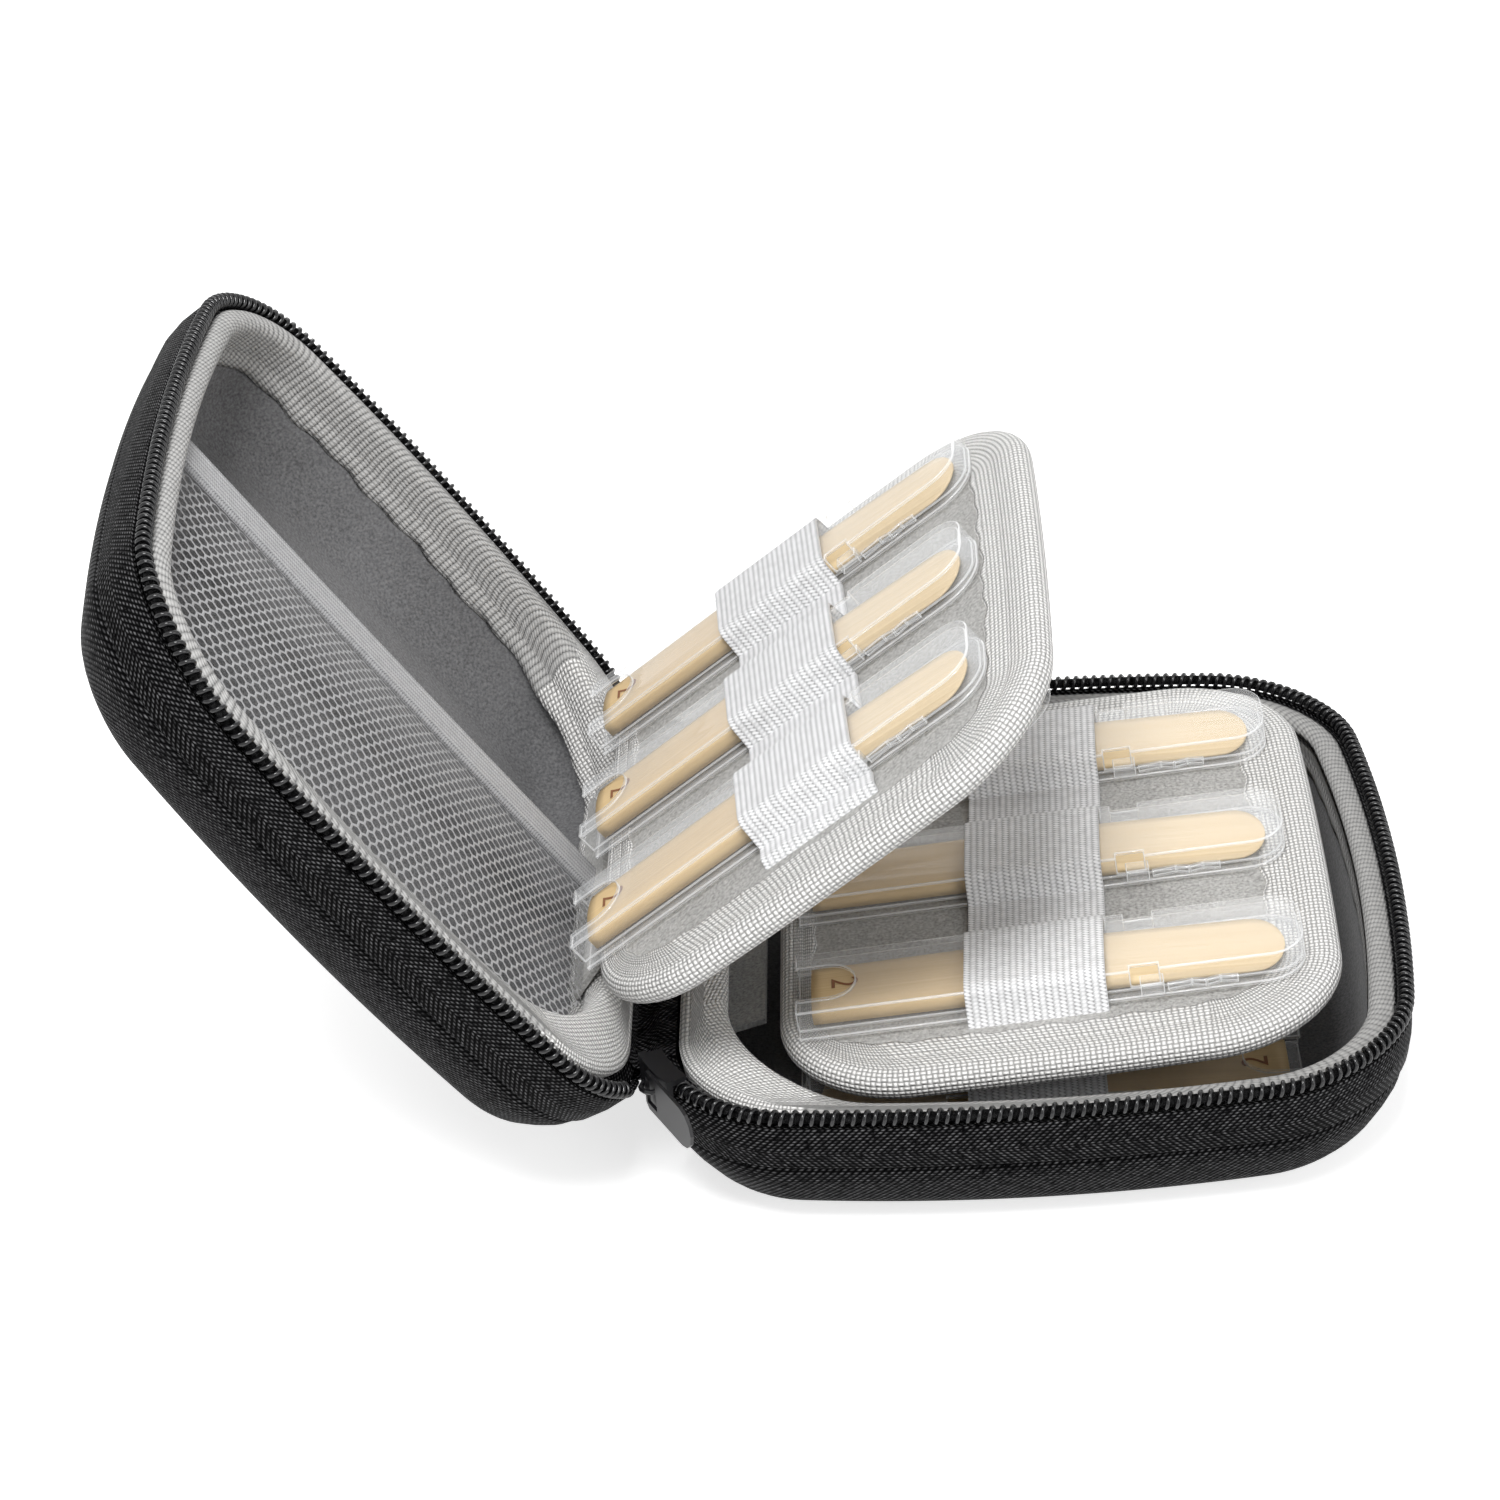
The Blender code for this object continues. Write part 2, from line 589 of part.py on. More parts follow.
def zip_pull(axis, plate_face, middle_turn):
    """The pull tab: a flat tongue whose eye goes round the bail. It lies along the case's corner."""
    reach = plate_face + PULL_LIFT
    pivot = empty(
        "zip_pull_axis", axis,
        (reach * math.cos(middle_turn), reach * math.sin(middle_turn), SLIDER_LEVEL),
        (0, 0, middle_turn + math.radians(90)),
    )
    rim = PULL_THICKNESS / 2
    half = PULL_WIDTH / 2
    eye_half = BAIL_RADIUS + BAIL_WIRE + CLEARANCE
    bend = half / 4
    outer = [(-rim, -half + bend), (-rim + bend, -half), (PULL_LENGTH - half, -half)]
    steps = 6
    for step in range(1, steps):
        turn = math.radians(180 * step / steps - 90)
        outer.append((PULL_LENGTH - half + half * math.cos(turn), half * math.sin(turn)))
    outer += [(PULL_LENGTH - half, half), (-rim + bend, half), (-rim, half - bend)]
    bm = bmesh.new()
    bm.faces.new([bm.verts.new((x, rim, z)) for x, z in outer])
    bmesh.ops.translate(bm, verts=bm.verts[:], vec=(0, -PULL_THICKNESS, 0))
    grown = bmesh.ops.extrude_face_region(bm, geom=bm.faces[:])["geom"]
    bmesh.ops.translate(
        bm, verts=[v for v in grown if isinstance(v, bmesh.types.BMVert)], vec=(0, PULL_THICKNESS, 0)
    )
    pull = place("zip_pull", mesh_from(bm, "zip_pull"), pivot, "black_metal")
    cut = bmesh.new()
    bmesh.ops.create_cube(cut, size=1.0)
    size = (PULL_EYE_LENGTH, PULL_THICKNESS + 2 * CUT_OVERRUN, 2 * eye_half)
    bmesh.ops.scale(cut, verts=cut.verts[:], vec=size)
    bmesh.ops.translate(cut, verts=cut.verts[:], vec=(rim + PULL_EYE_LENGTH / 2, 0, 0))
    eye = cutter("zip_pull_eye", cut, pivot)
    hole = pull.modifiers.new("Eye", "BOOLEAN")
    hole.operation = "DIFFERENCE"
    hole.object = eye


def cutter(name, bm, parent):
    made = bpy.data.objects.new(name, mesh_from(bm, name))
    CUTTERS.objects.link(made)
    made.parent = parent
    made.hide_render = True
    made.display_type = "WIRE"
    return made


def page_plate(name, frame, look, low, high, inset):
    """A flat sheet of the page between two heights."""
    bm = bmesh.new()
    rows = loft(bm, [at_height(page_outline(inset), low), at_height(page_outline(inset), high)], around=False)
    bm.faces.new(reversed(rows[0]))
    bm.faces.new(rows[-1])
    place(name, mesh_from(bm, name), frame, look)


def page_binding(name, frame):
    """The woven tape folded over the page's edge: round outside, with a flat lap on each face."""
    half = PAGE_HALF_THICKNESS
    under = half - PAGE_TAPE_THICKNESS
    width, spine = PAGE_TAPE_WIDTH, PAGE_SPINE_TAPE_WIDTH
    profile = [(width, spine, half)]
    for step in range(EDGE_STEPS + 1):
        turn = math.radians(90 - 180 * step / EDGE_STEPS)
        profile.append((-half * math.cos(turn), -half * math.cos(turn), half * math.sin(turn)))
    profile += [(width, spine, -half), (width, spine, -under)]
    profile += [(CLEARANCE, CLEARANCE, -under), (CLEARANCE, CLEARANCE, under), (width, spine, under)]
    rings = [at_height(page_outline(inset, spine_inset), z) for inset, spine_inset, z in profile]
    bm = bmesh.new()
    loft(bm, rings)
    place(name, mesh_from(bm, name, smooth=True), frame, "silver_binding")


def strap_path(rows, end):
    """The strap's underside in (y, z) points: down between the holders and over each one."""
    foot = HOLDER_WIDTH / 2 + STRAP_SIDE_ROOM
    shoulder = foot - STRAP_SLOPE
    ends = (min(-end, rows[0] - foot - STRAP_FOOT), max(end, rows[-1] + foot + STRAP_FOOT))
    path = [(ends[0], 0)]
    for row in rows:
        path += [(row - foot, 0), (row - shoulder, STRAP_ROOF), (row + shoulder, STRAP_ROOF), (row + foot, 0)]
    return path + [(ends[1], 0)]


def strap(name, frame, rows, level, end, start=STRAP_START, turn=(0, 0, 0)):
    ribbon(
        name, frame, "grey_elastic", strap_path(rows, end), start, STRAP_WIDTH,
        STRAP_THICKNESS, "X", offset=1, location=(0, 0, level), turn=turn,
    )


def tongue_outline(start, end, half, corner):
    """A flat outline from a square heel to a tip with rounded corners, anticlockwise."""
    points = [Vector((start, -half))]
    for centre_y, first in ((corner - half, 270), (half - corner, 0)):
        for step in range(TIP_STEPS // 2 + 1):
            turn = math.radians(first + 90 * step / (TIP_STEPS // 2))
            points.append(Vector((end - corner + corner * math.cos(turn), centre_y + corner * math.sin(turn))))
    return points + [Vector((start, half))]


def prism(bm, outline, low, high):
    rows = loft(bm, [at_height(outline, low), at_height(outline, high)], around=False)
    bm.faces.new(reversed(rows[0]))
    bm.faces.new(rows[-1])


def tray_mesh():
    """The holder's base plate, with the clip that locks the cover raised on one flange."""
    bm = bmesh.new()
    prism(bm, tongue_outline(0, HOLDER_LENGTH, HOLDER_WIDTH / 2, HOLDER_CORNER + HOLDER_FLANGE), 0, HOLDER_SKIN)
    plate = bpy.data.objects.new("tray_plate", mesh_from(bm, "tray_plate"))
    bm = bmesh.new()
    bmesh.ops.create_cube(bm, size=1.0)
    bmesh.ops.scale(bm, verts=bm.verts[:], vec=(CLIP_LENGTH, CLIP_WIDTH, CLIP_HEIGHT))
    middle = (CLIP_START + CLIP_LENGTH / 2, CLIP_WIDTH / 2 - HOLDER_WIDTH / 2, CLIP_HEIGHT / 2)
    bmesh.ops.translate(bm, verts=bm.verts[:], vec=middle)
    clip = cutter("tray_clip", bm, None)
    return booleaned(plate, [("UNION", clip)], "holder_tray")


def cover_mesh():
    """The holder's cover: a clear channel with a closed tip, and a thumb notch over the reed's heel."""
    bm = bmesh.new()
    low = HOLDER_SKIN + CLEARANCE
    prism(bm, tongue_outline(0, HOLDER_LENGTH, HOLDER_COVER_WIDTH / 2, HOLDER_CORNER), low, HOLDER_HEIGHT)
    block = bpy.data.objects.new("cover_block", mesh_from(bm, "cover_block"))
    bm = bmesh.new()
    inner_corner = HOLDER_CORNER - HOLDER_SKIN
    end = HOLDER_LENGTH - HOLDER_SKIN
    outline = tongue_outline(-CUT_OVERRUN, end, HOLDER_INNER_WIDTH / 2, inner_corner)
    prism(bm, outline, low - CUT_OVERRUN, HOLDER_HEIGHT - HOLDER_SKIN)
    cavity = cutter("cover_cavity", bm, None)
    bm = bmesh.new()
    notch_corner = HEEL_NOTCH_WIDTH / 2
    outline = tongue_outline(-CUT_OVERRUN, HEEL_NOTCH_LENGTH, notch_corner, notch_corner * ROUND_SHARE)
    prism(bm, outline, HOLDER_HEIGHT - HOLDER_SKIN - CUT_OVERRUN, HOLDER_HEIGHT + CUT_OVERRUN)
    notch = cutter("cover_notch", bm, None)
    return booleaned(block, [("DIFFERENCE", cavity), ("DIFFERENCE", notch)], "holder_cover")


def booleaned(body, cuts, name):
    """The mesh of a body after its Boolean modifiers, for the copies to share."""
    CUTTERS.objects.link(body)
    body.hide_render = True
    for operation, tool in cuts:
        step = body.modifiers.new(tool.name, "BOOLEAN")
        step.operation = operation
        step.object = tool
    bpy.context.view_layer.update()
    graph = bpy.context.evaluated_depsgraph_get()
    mesh = bpy.data.meshes.new_from_object(body.evaluated_get(graph))
    mesh.name = name
    mesh.materials.clear()
    bpy.data.objects.remove(body, do_unlink=True)
    return mesh


def reed_mesh():
    """A cane reed: square heel, flat underside, and a vamp that slopes down to the rounded tip."""
    heel, tip = REED_HEEL_WIDTH / 2, REED_TIP_WIDTH / 2
    bark = heel + (tip - heel) * REED_BARK_LENGTH / REED_LENGTH
    arc_start = REED_LENGTH - REED_TIP_ARC
    arc = []
    for step in range(TIP_STEPS + 1):
        turn = math.radians(180 * step / TIP_STEPS - 90)
        arc.append((arc_start + REED_TIP_ARC * math.cos(turn), tip * math.sin(turn)))
    outline = [(0, -heel), (REED_BARK_LENGTH, -bark)] + arc + [(REED_BARK_LENGTH, bark), (0, heel)]
    slope = (REED_THICKNESS - REED_TIP_THICKNESS) / (REED_LENGTH - REED_BARK_LENGTH)
    bm = bmesh.new()
    low = [bm.verts.new((x, y, 0)) for x, y in outline]
    high = [
        bm.verts.new((x, y, REED_THICKNESS - slope * max(x - REED_BARK_LENGTH, 0))) for x, y in outline
    ]
    for index, point in enumerate(low):
        after = (index + 1) % len(low)
        bm.faces.new((point, low[after], high[after], high[index]))
    bm.faces.new(reversed(low))
    bm.faces.new((high[0], high[1], high[-2], high[-1]))
    bm.faces.new(high[1:-1])
    return mesh_from(bm, "reed")


def loaded_holder_mesh():
    """A closed holder with its reed inside, as one solid: flanged base and raised cover."""
    base = tongue_outline(0, HOLDER_LENGTH, HOLDER_WIDTH / 2, HOLDER_CORNER + HOLDER_FLANGE)
    cover = tongue_outline(0, HOLDER_LENGTH, HOLDER_COVER_WIDTH / 2, HOLDER_CORNER)
    bm = bmesh.new()
    sections = [(base, 0), (base, HOLDER_SKIN), (cover, HOLDER_SKIN), (cover, HOLDER_HEIGHT)]
    rows = loft(bm, [at_height(outline, z) for outline, z in sections], around=False)
    bm.faces.new(reversed(rows[0]))
    bm.faces.new(rows[-1])
    return mesh_from(bm, "loaded_holder")


def holder(name, frame, x, y, meshes):
    """One clear holder on a page's front: base tray, cover and the reed between them."""
    tray, cover, reed = meshes
    reed_x, reed_z = x + HOLDER_HEEL_ROOM, HOLDER_LEVEL + HOLDER_SKIN + CLEARANCE
    place(f"{name}_tray", tray, frame, "clear_plastic", (x, y, HOLDER_LEVEL))
    place(f"{name}_cover", cover, frame, "clear_plastic", (x, y, HOLDER_LEVEL))
    place(f"{name}_reed", reed, frame, "cane", (reed_x, y, reed_z))


def page(letter, frame, holder_start, row_shift, meshes, loaded):
    """A page with its straps, three holders on its front and three on its back."""
    name = f"page_{letter}"
    sheet = BOARD_THICKNESS / 2
    face_low = sheet + CLEARANCE
    face_high = face_low + FACE_THICKNESS
    edge = 2 * CLEARANCE
    page_plate(f"{name}_board", frame, "board_grey", -sheet, sheet, edge)
    page_plate(f"{name}_face_front", frame, "light_velour", face_low, face_high, edge)
    page_plate(f"{name}_face_back", frame, "light_velour", -face_high, -face_low, edge)
    page_binding(f"{name}_binding", frame)
    rows = [row_shift + offset for offset in ROW_OFFSETS]
    face_half = PAGE_WIDTH / 2 - PAGE_TAPE_WIDTH
    strap(f"{name}_strap_front", frame, rows, HOLDER_LEVEL, face_half)
    over = math.radians(180)
    back_rows = [offset - row_shift for offset in ROW_OFFSETS]
    strap(f"{name}_strap_back", frame, back_rows, -HOLDER_LEVEL, face_half, turn=(over, 0, 0))
    for number, y in enumerate(rows, 1):
        holder(f"{name}_holder_{number}", frame, holder_start, y, meshes)
        place(
            f"{name}_back_holder_{number}", loaded, frame, "clear_plastic",
            (BACK_HOLDER_START, y, -HOLDER_LEVEL), (over, 0, 0),
        )


def page_flap(name, seam, spine):
    """The fabric flap from its seam beside the hinge roll to the page's spine, in the rim frame."""
    start, end = Vector(seam), Vector(spine)
    stop = end + (start - end).normalized() * (PAGE_HALF_THICKNESS + CLEARANCE)
    path = [tuple(start), tuple(stop)]
    ribbon(
        name, RIM, "light_velour", path, -FLAP_HALF_WIDTH, 2 * FLAP_HALF_WIDTH, FLAP_THICKNESS, "Y",
    )


def floor_row(loaded):
    """Three holders on the lower shell's floor, their heels towards the free side, under a strap."""
    level = -FLOOR_LEVEL + CLEARANCE
    rows = [PAGE_B_ROW_SHIFT + offset for offset in ROW_OFFSETS]
    end = rows[-1] + HOLDER_WIDTH / 2
    start = FLOOR_HOLDER_END - STRAP_START - STRAP_WIDTH
    strap("floor_strap", RIM, rows, level, end, start=start)
    for number, y in enumerate(rows, 1):
        place(
            f"floor_holder_{number}", loaded, RIM, "clear_plastic",
            (FLOOR_HOLDER_END, y, level), (0, 0, math.radians(180)),
        )


def build():
    lid_axis = empty("lid_axis", RIM, (HINGE_X, 0, HINGE_Z), (0, -math.radians(LID_OPEN), 0))
    lid = empty("lid_frame", lid_axis, (-HINGE_X, 0, LID_GAP - HINGE_Z), (math.radians(180), 0, 0))
    slider_axis = empty("zip_slider_axis", RIM, (ZIP_TURN_X, ZIP_TURN_Y, 0))
    page_a = empty(
        "page_a_axis", RIM, (PAGE_A_SPINE_X, 0, PAGE_A_SPINE_Z), (0, -math.radians(PAGE_A_TILT), 0)
    )
    page_b = empty(
        "page_b_axis", RIM, (PAGE_B_SPINE_X, 0, PAGE_B_SPINE_Z), (0, -math.radians(PAGE_B_TILT), 0)
    )
    bpy.context.view_layer.update()
    shell_half("lower", RIM)
    shell_half("lid", lid)
    fabric_hinge(lid)
    mesh_pocket(lid)
    plate_face, middle_turn = zip_slider(slider_axis)
    zip_pull(slider_axis, plate_face, middle_turn)
    meshes = (tray_mesh(), cover_mesh(), reed_mesh())
    loaded = loaded_holder_mesh()
    seam = (FLAP_SEAM_X, FLAP_SEAM_Z)
    page_flap("page_a_flap", in_rim_frame(lid, seam), (PAGE_A_SPINE_X, PAGE_A_SPINE_Z))
    page_flap("page_b_flap", seam, (PAGE_B_SPINE_X, PAGE_B_SPINE_Z))
    page("a", page_a, PAGE_A_HOLDER_START, PAGE_A_ROW_SHIFT, meshes, loaded)
    page("b", page_b, PAGE_B_HOLDER_START, PAGE_B_ROW_SHIFT, meshes, loaded)
    floor_row(loaded)


clear_scene()
PIECES = new_collection("reed_case")
CUTTERS = new_collection("cutters")
RIM = empty("rim_frame", None, (-RIM_LENGTH / 2, 0, RIM_HEIGHT))
build()
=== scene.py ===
# %% [markdown]
# # A zipped reed case, open on a table
#
# The real case has two moulded shells, two padded pages that swing between them, clear holders with reeds
# under elastic straps, and a zip round the rim. It was first built as plain solids, which hold the sizes and
# the joints. This lesson gives each of them the surface of the real thing.
#
# A dressed piece never moves by itself. It rides on a body of the frame, and where it takes the place of a
# plain solid, it says so. Lengths are in metres, and MM turns a size in millimetres into metres.

# %% Load the frame
import math

import bmesh
import bpy
from mathutils import Euler, Matrix, Vector


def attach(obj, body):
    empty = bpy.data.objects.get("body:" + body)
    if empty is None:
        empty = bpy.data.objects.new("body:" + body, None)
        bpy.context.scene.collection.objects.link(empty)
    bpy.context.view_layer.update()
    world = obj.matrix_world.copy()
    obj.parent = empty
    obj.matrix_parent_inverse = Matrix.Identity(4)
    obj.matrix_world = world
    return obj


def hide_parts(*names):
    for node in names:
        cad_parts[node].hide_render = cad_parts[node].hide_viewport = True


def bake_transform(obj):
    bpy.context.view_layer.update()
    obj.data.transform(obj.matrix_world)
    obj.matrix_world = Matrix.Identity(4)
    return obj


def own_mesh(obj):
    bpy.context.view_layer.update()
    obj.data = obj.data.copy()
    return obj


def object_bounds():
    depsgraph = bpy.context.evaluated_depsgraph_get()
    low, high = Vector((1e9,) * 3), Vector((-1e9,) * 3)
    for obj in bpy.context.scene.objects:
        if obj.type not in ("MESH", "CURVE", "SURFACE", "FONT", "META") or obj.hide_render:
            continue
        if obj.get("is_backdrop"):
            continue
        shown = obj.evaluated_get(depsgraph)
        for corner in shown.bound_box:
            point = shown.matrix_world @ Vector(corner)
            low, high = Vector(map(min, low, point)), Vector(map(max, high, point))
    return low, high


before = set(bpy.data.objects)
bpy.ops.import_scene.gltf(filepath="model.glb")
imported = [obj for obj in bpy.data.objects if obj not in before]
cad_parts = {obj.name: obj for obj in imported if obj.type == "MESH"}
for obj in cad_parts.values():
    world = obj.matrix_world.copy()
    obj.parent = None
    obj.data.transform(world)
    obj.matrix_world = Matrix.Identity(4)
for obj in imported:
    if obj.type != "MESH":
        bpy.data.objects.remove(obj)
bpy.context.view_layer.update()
MM = 0.001

# %% [markdown]
# ## A frame for each shell
#
# The lid leans back far past a right angle, so little on it is easy to draw or measure where it stands. A
# tray could be modelled upright and rotated by hand. Here a matrix does that, because then the same function
# draws both shells. In the rim's frame x runs from the hinge side to the free side, y along the hinge, and
# z up from the rim. RIM lays such a drawing on the lower shell. LID turns it over and swings it open.

# %% The rim's frame on the lower shell and on the lid
RIM_LENGTH = 104.0 * MM
RIM_HEIGHT = 21.5 * MM
LID_GAP = 2.7 * MM
LID_OPEN = 123.7
HINGE = Vector((1.0, 0, -0.6)) * MM

TURNED_OVER = Matrix.Rotation(math.radians(180), 4, "X")
RIM = Matrix.Translation((-RIM_LENGTH / 2, 0, RIM_HEIGHT))
OPENED = Matrix.Translation(HINGE) @ Matrix.Rotation(-math.radians(LID_OPEN), 4, "Y")
LID = RIM @ OPENED @ Matrix.Translation((-HINGE.x, 0, LID_GAP - HINGE.z)) @ TURNED_OVER
print(f"the lid stands open at {LID_OPEN} degrees")

# %% [markdown]
# ## Shader nodes in one line each
#
# A weave takes some twenty nodes. They could be laid out by hand in the shader editor, but the same few
# groups come back in every cloth. So one helper adds a node and fills its inputs in order, and small
# functions put words on what the sums mean.

# %% Add a node, and mix two colours
def add(tree, kind, *values, **settings):
    """Adds a node, sets its properties, and links or sets its inputs in order. Returns its first output."""
    made = tree.nodes.new(kind)
    for name, value in settings.items():
        setattr(made, name, value)
    for socket, value in zip(made.inputs, values):
        if isinstance(value, bpy.types.NodeSocket):
            tree.links.new(value, socket)
        elif value is not None:
            socket.default_value = value
    return made.outputs[0]


def maths(tree, operation, *values, **settings):
    return add(tree, "ShaderNodeMath", *values, operation=operation, **settings)


def blended(tree, factor, dark, light):
    """A colour between two others. Sockets 6, 7 and 2 are the Mix node's colour inputs and output."""
    made = add(tree, "ShaderNodeMix", factor, data_type="RGBA").node
    for socket, value in ((made.inputs[6], dark), (made.inputs[7], light)):
        if isinstance(value, bpy.types.NodeSocket):
            tree.links.new(value, socket)
        else:
            socket.default_value = (*value, 1.0)
    return made.outputs[2]


# %% Start a material
def surface(name, roughness, metallic=0.0, sheen=0.0, gloss=0.5):
    """A new material, with its node tree and its Principled shader."""
    made = bpy.data.materials.new(name)
    made.use_nodes = True
    shader = made.node_tree.nodes["Principled BSDF"]
    shader.inputs["Roughness"].default_value = roughness
    shader.inputs["Metallic"].default_value = metallic
    shader.inputs["Sheen Weight"].default_value = sheen
    shader.inputs["Specular IOR Level"].default_value = gloss
    print("material", name)
    return made, made.node_tree, shader


def plain(name, colour, roughness):
    made, tree, shader = surface(name, roughness)
    shader.inputs["Base Color"].default_value = (*colour, 1.0)
    return made


# %% [markdown]
# ## Cloth by the millimetre
#
# A yarn has a real thickness, so a weave should repeat every millimetre or so however the cloth runs. Noise
# or waves in object space would cut through folds at odd angles. Every skin below therefore writes its UV
# map in real lengths, across and along the cloth. Dividing them by a pitch counts yarns, and a rectified
# sine then makes each one round.

# %% Count yarns, and round them
def lengths(tree, across=1.0, along=1.0):
    """The UV map's two lengths, each divided by a pitch."""
    split = add(tree, "ShaderNodeSeparateXYZ", add(tree, "ShaderNodeUVMap", uv_map="UVMap")).node
    return (
        maths(tree, "DIVIDE", split.outputs[0], across),
        maths(tree, "DIVIDE", split.outputs[1], along),
    )


def crown(tree, value):
    """0 at each whole number and 1 half way between, like a row of round yarns seen end on."""
    return maths(tree, "ABSOLUTE", maths(tree, "SINE", maths(tree, "MULTIPLY", value, math.pi)))


# %% Uneven colour and relief
def speckle(tree, scale, detail=3.0):
    """Fine noise over the object, from 0 to 1."""
    made = tree.nodes.new("ShaderNodeTexNoise")
    tree.links.new(add(tree, "ShaderNodeTexCoord").node.outputs["Object"], made.inputs["Vector"])
    made.inputs["Scale"].default_value = scale
    made.inputs["Detail"].default_value = detail
    return made.outputs[0]


def mottled(tree, value, scale, swing, least, **settings):
    """The value times noise, which runs from least to least plus swing."""
    noise = maths(tree, "MULTIPLY_ADD", speckle(tree, scale), swing, least)
    return maths(tree, "MULTIPLY", value, noise, **settings)


def toned(tree, shader, factor, dark, light):
    tree.links.new(blended(tree, factor, dark, light), shader.inputs["Base Color"])


def bumped(tree, shader, height, distance, strength=1.0):
    made = tree.nodes.new("ShaderNodeBump")
    made.inputs["Strength"].default_value = strength
    made.inputs["Distance"].default_value = distance
    tree.links.new(height, made.inputs["Height"])
    tree.links.new(made.outputs[0], shader.inputs["Normal"])


# %% [markdown]
# ## Silver binding: a plain weave
#
# The binding round each page and each shell is a coarse silver tape. Its two yarns go over and under each
# other by turns, like a chessboard. A checker texture would give flat squares. Here the checker only picks
# which of two crowned yarns is on top, so both the colour and the bump have the rounded look of thread. In
# the colour that look is painted light: each crown is painted lighter as a highlight, and the colour falls
# to dark between yarns, partly the real space between them and partly painted shade.

# %% Weave the binding
YARN_DROOP = 0.5


def woven(name, pitch, dark, light, gap_and_shade, relief, roughness, sheen, gloss):
    """Two yarns by turns: the first is over where their counts have an odd sum. The higher the power on their
    height, the wider the dark between them, partly the space between yarns and partly painted shade. The
    lighter crowns are painted highlights."""
    made, tree, shader = surface(name, roughness, sheen=sheen, gloss=gloss)
    u, v = lengths(tree, *pitch)
    cells = maths(tree, "ABSOLUTE", maths(tree, "ADD", maths(tree, "FLOOR", u), maths(tree, "FLOOR", v)))
    over = maths(tree, "GREATER_THAN", maths(tree, "MODULO", cells, 2.0), 0.5)
    yarns = []
    for own, other, on_top in ((u, v, over), (v, u, maths(tree, "SUBTRACT", 1.0, over))):
        droop = maths(tree, "MULTIPLY_ADD", crown(tree, other), YARN_DROOP, 1 - YARN_DROOP)
        yarns.append(maths(tree, "MULTIPLY", maths(tree, "MULTIPLY", crown(tree, own), droop), on_top))
    height = maths(tree, "ADD", *yarns)
    # Painted light: the colour is lighter on the yarns' crowns as a highlight, and darker between them as
    # shade.
    shown = mottled(tree, maths(tree, "POWER", height, gap_and_shade), scale=900, swing=0.6, least=0.7)
    toned(tree, shader, shown, dark, light)
    bumped(tree, shader, height, relief)
    return made


# The light colour is the crowns' painted highlight; the dark is the space between yarns and painted shade.
BINDING = woven(
    "silver_binding", pitch=(0.82 * MM, 0.70 * MM), dark=(0.30, 0.295, 0.29), light=(1.0, 0.99, 0.97),
    gap_and_shade=1.1, relief=0.3 * MM, roughness=0.42, sheen=0.1, gloss=0.4,
)

# %% [markdown]
# ## Straps and rim tapes: ribbed elastic
#
# Elastic has ribs along its length, and each rib is knitted, so it sways from side to side. Straight stripes
# look like corrugated card. Adding a small zigzag to the rib count before it is crowned gives the knit, and
# a second, slanted row of crowns gives its loops. The colour follows that height, as painted light and
# shade: light on the crowns, dark in the grooves. The same recipe serves the straps, the grey tapes inside
# both rims, and the band at the mesh pocket's mouth.

# %% Knit the elastics
RIB_SHARE = 0.65
RIB_POWER = 0.7
LOOP_SLANT = 0.5


def ribbed(name, pitch, dark, light, zigzag=0.16, relief=0.1 * MM, knit=0.62):
    """Ribs along a strap, each knitted in a fine zigzag. knit is its pitch as a share of the ribs'."""
    made, tree, shader = surface(name, 0.8, sheen=0.1, gloss=0.15)
    u, v = lengths(tree, pitch, pitch * knit)
    sway = maths(tree, "MULTIPLY_ADD", crown(tree, v), zigzag * 2, -zigzag)
    rib = maths(tree, "POWER", crown(tree, maths(tree, "ADD", u, sway)), RIB_POWER)
    loops = crown(tree, maths(tree, "ADD", v, maths(tree, "MULTIPLY", u, LOOP_SLANT)))
    ribs = maths(tree, "MULTIPLY", rib, RIB_SHARE)
    height = maths(tree, "ADD", ribs, maths(tree, "MULTIPLY", loops, 1 - RIB_SHARE))
    # Painted light and shade: the colour runs from dark in the grooves to light on the crowns.
    shown = mottled(tree, height, scale=800, swing=0.7, least=0.65)
    toned(tree, shader, shown, dark, light)
    bumped(tree, shader, height, relief)
    return made


# In each elastic, the dark colour is the grooves' painted shade and the light one the crowns' painted light.
LID_TAPE = ribbed(
    "dark_rim_tape", 1.15 * MM, (0.11, 0.11, 0.11), (0.56, 0.555, 0.545),
    zigzag=0.05, relief=0.25 * MM, knit=0.5,
)
LOWER_TAPE = ribbed(
    "light_rim_tape", 1.15 * MM, (0.13, 0.13, 0.13), (0.42, 0.415, 0.405),
    zigzag=0.05, relief=0.2 * MM, knit=0.5,
)
ELASTIC = ribbed("grey_elastic", 0.95 * MM, (0.26, 0.26, 0.265), (0.92, 0.92, 0.93))
HEM = ribbed(
    "pocket_hem", 0.9 * MM, (0.16, 0.16, 0.165), (0.52, 0.52, 0.53),
    zigzag=0.1, relief=0.15 * MM, knit=0.5,
)

# %% [markdown]
# ## Shell cloth and zip tape: black twill
#
# Both shells wear a black herringbone cloth. Its yarns run on a slant and turn back at each row, which
# PINGPONG does with the length along the cloth. Seen close, black cloth is mostly black, with short floats
# of yarn that catch the light. Their glints are painted highlights in the colour: a high power keeps only
# the tops of the yarns, and strong noise blanks many. Its real shine stays very low, because a glossy
# black would lift the whole shell to grey.

# %% Weave the black cloths
# The black is the cloth's own; the lighter colour is the painted highlight on the yarn floats.
SHADE = (0.0006, 0.0006, 0.0008)
FLOAT_HIGHLIGHT = (0.17, 0.17, 0.175)
SPARKLE = 3.2


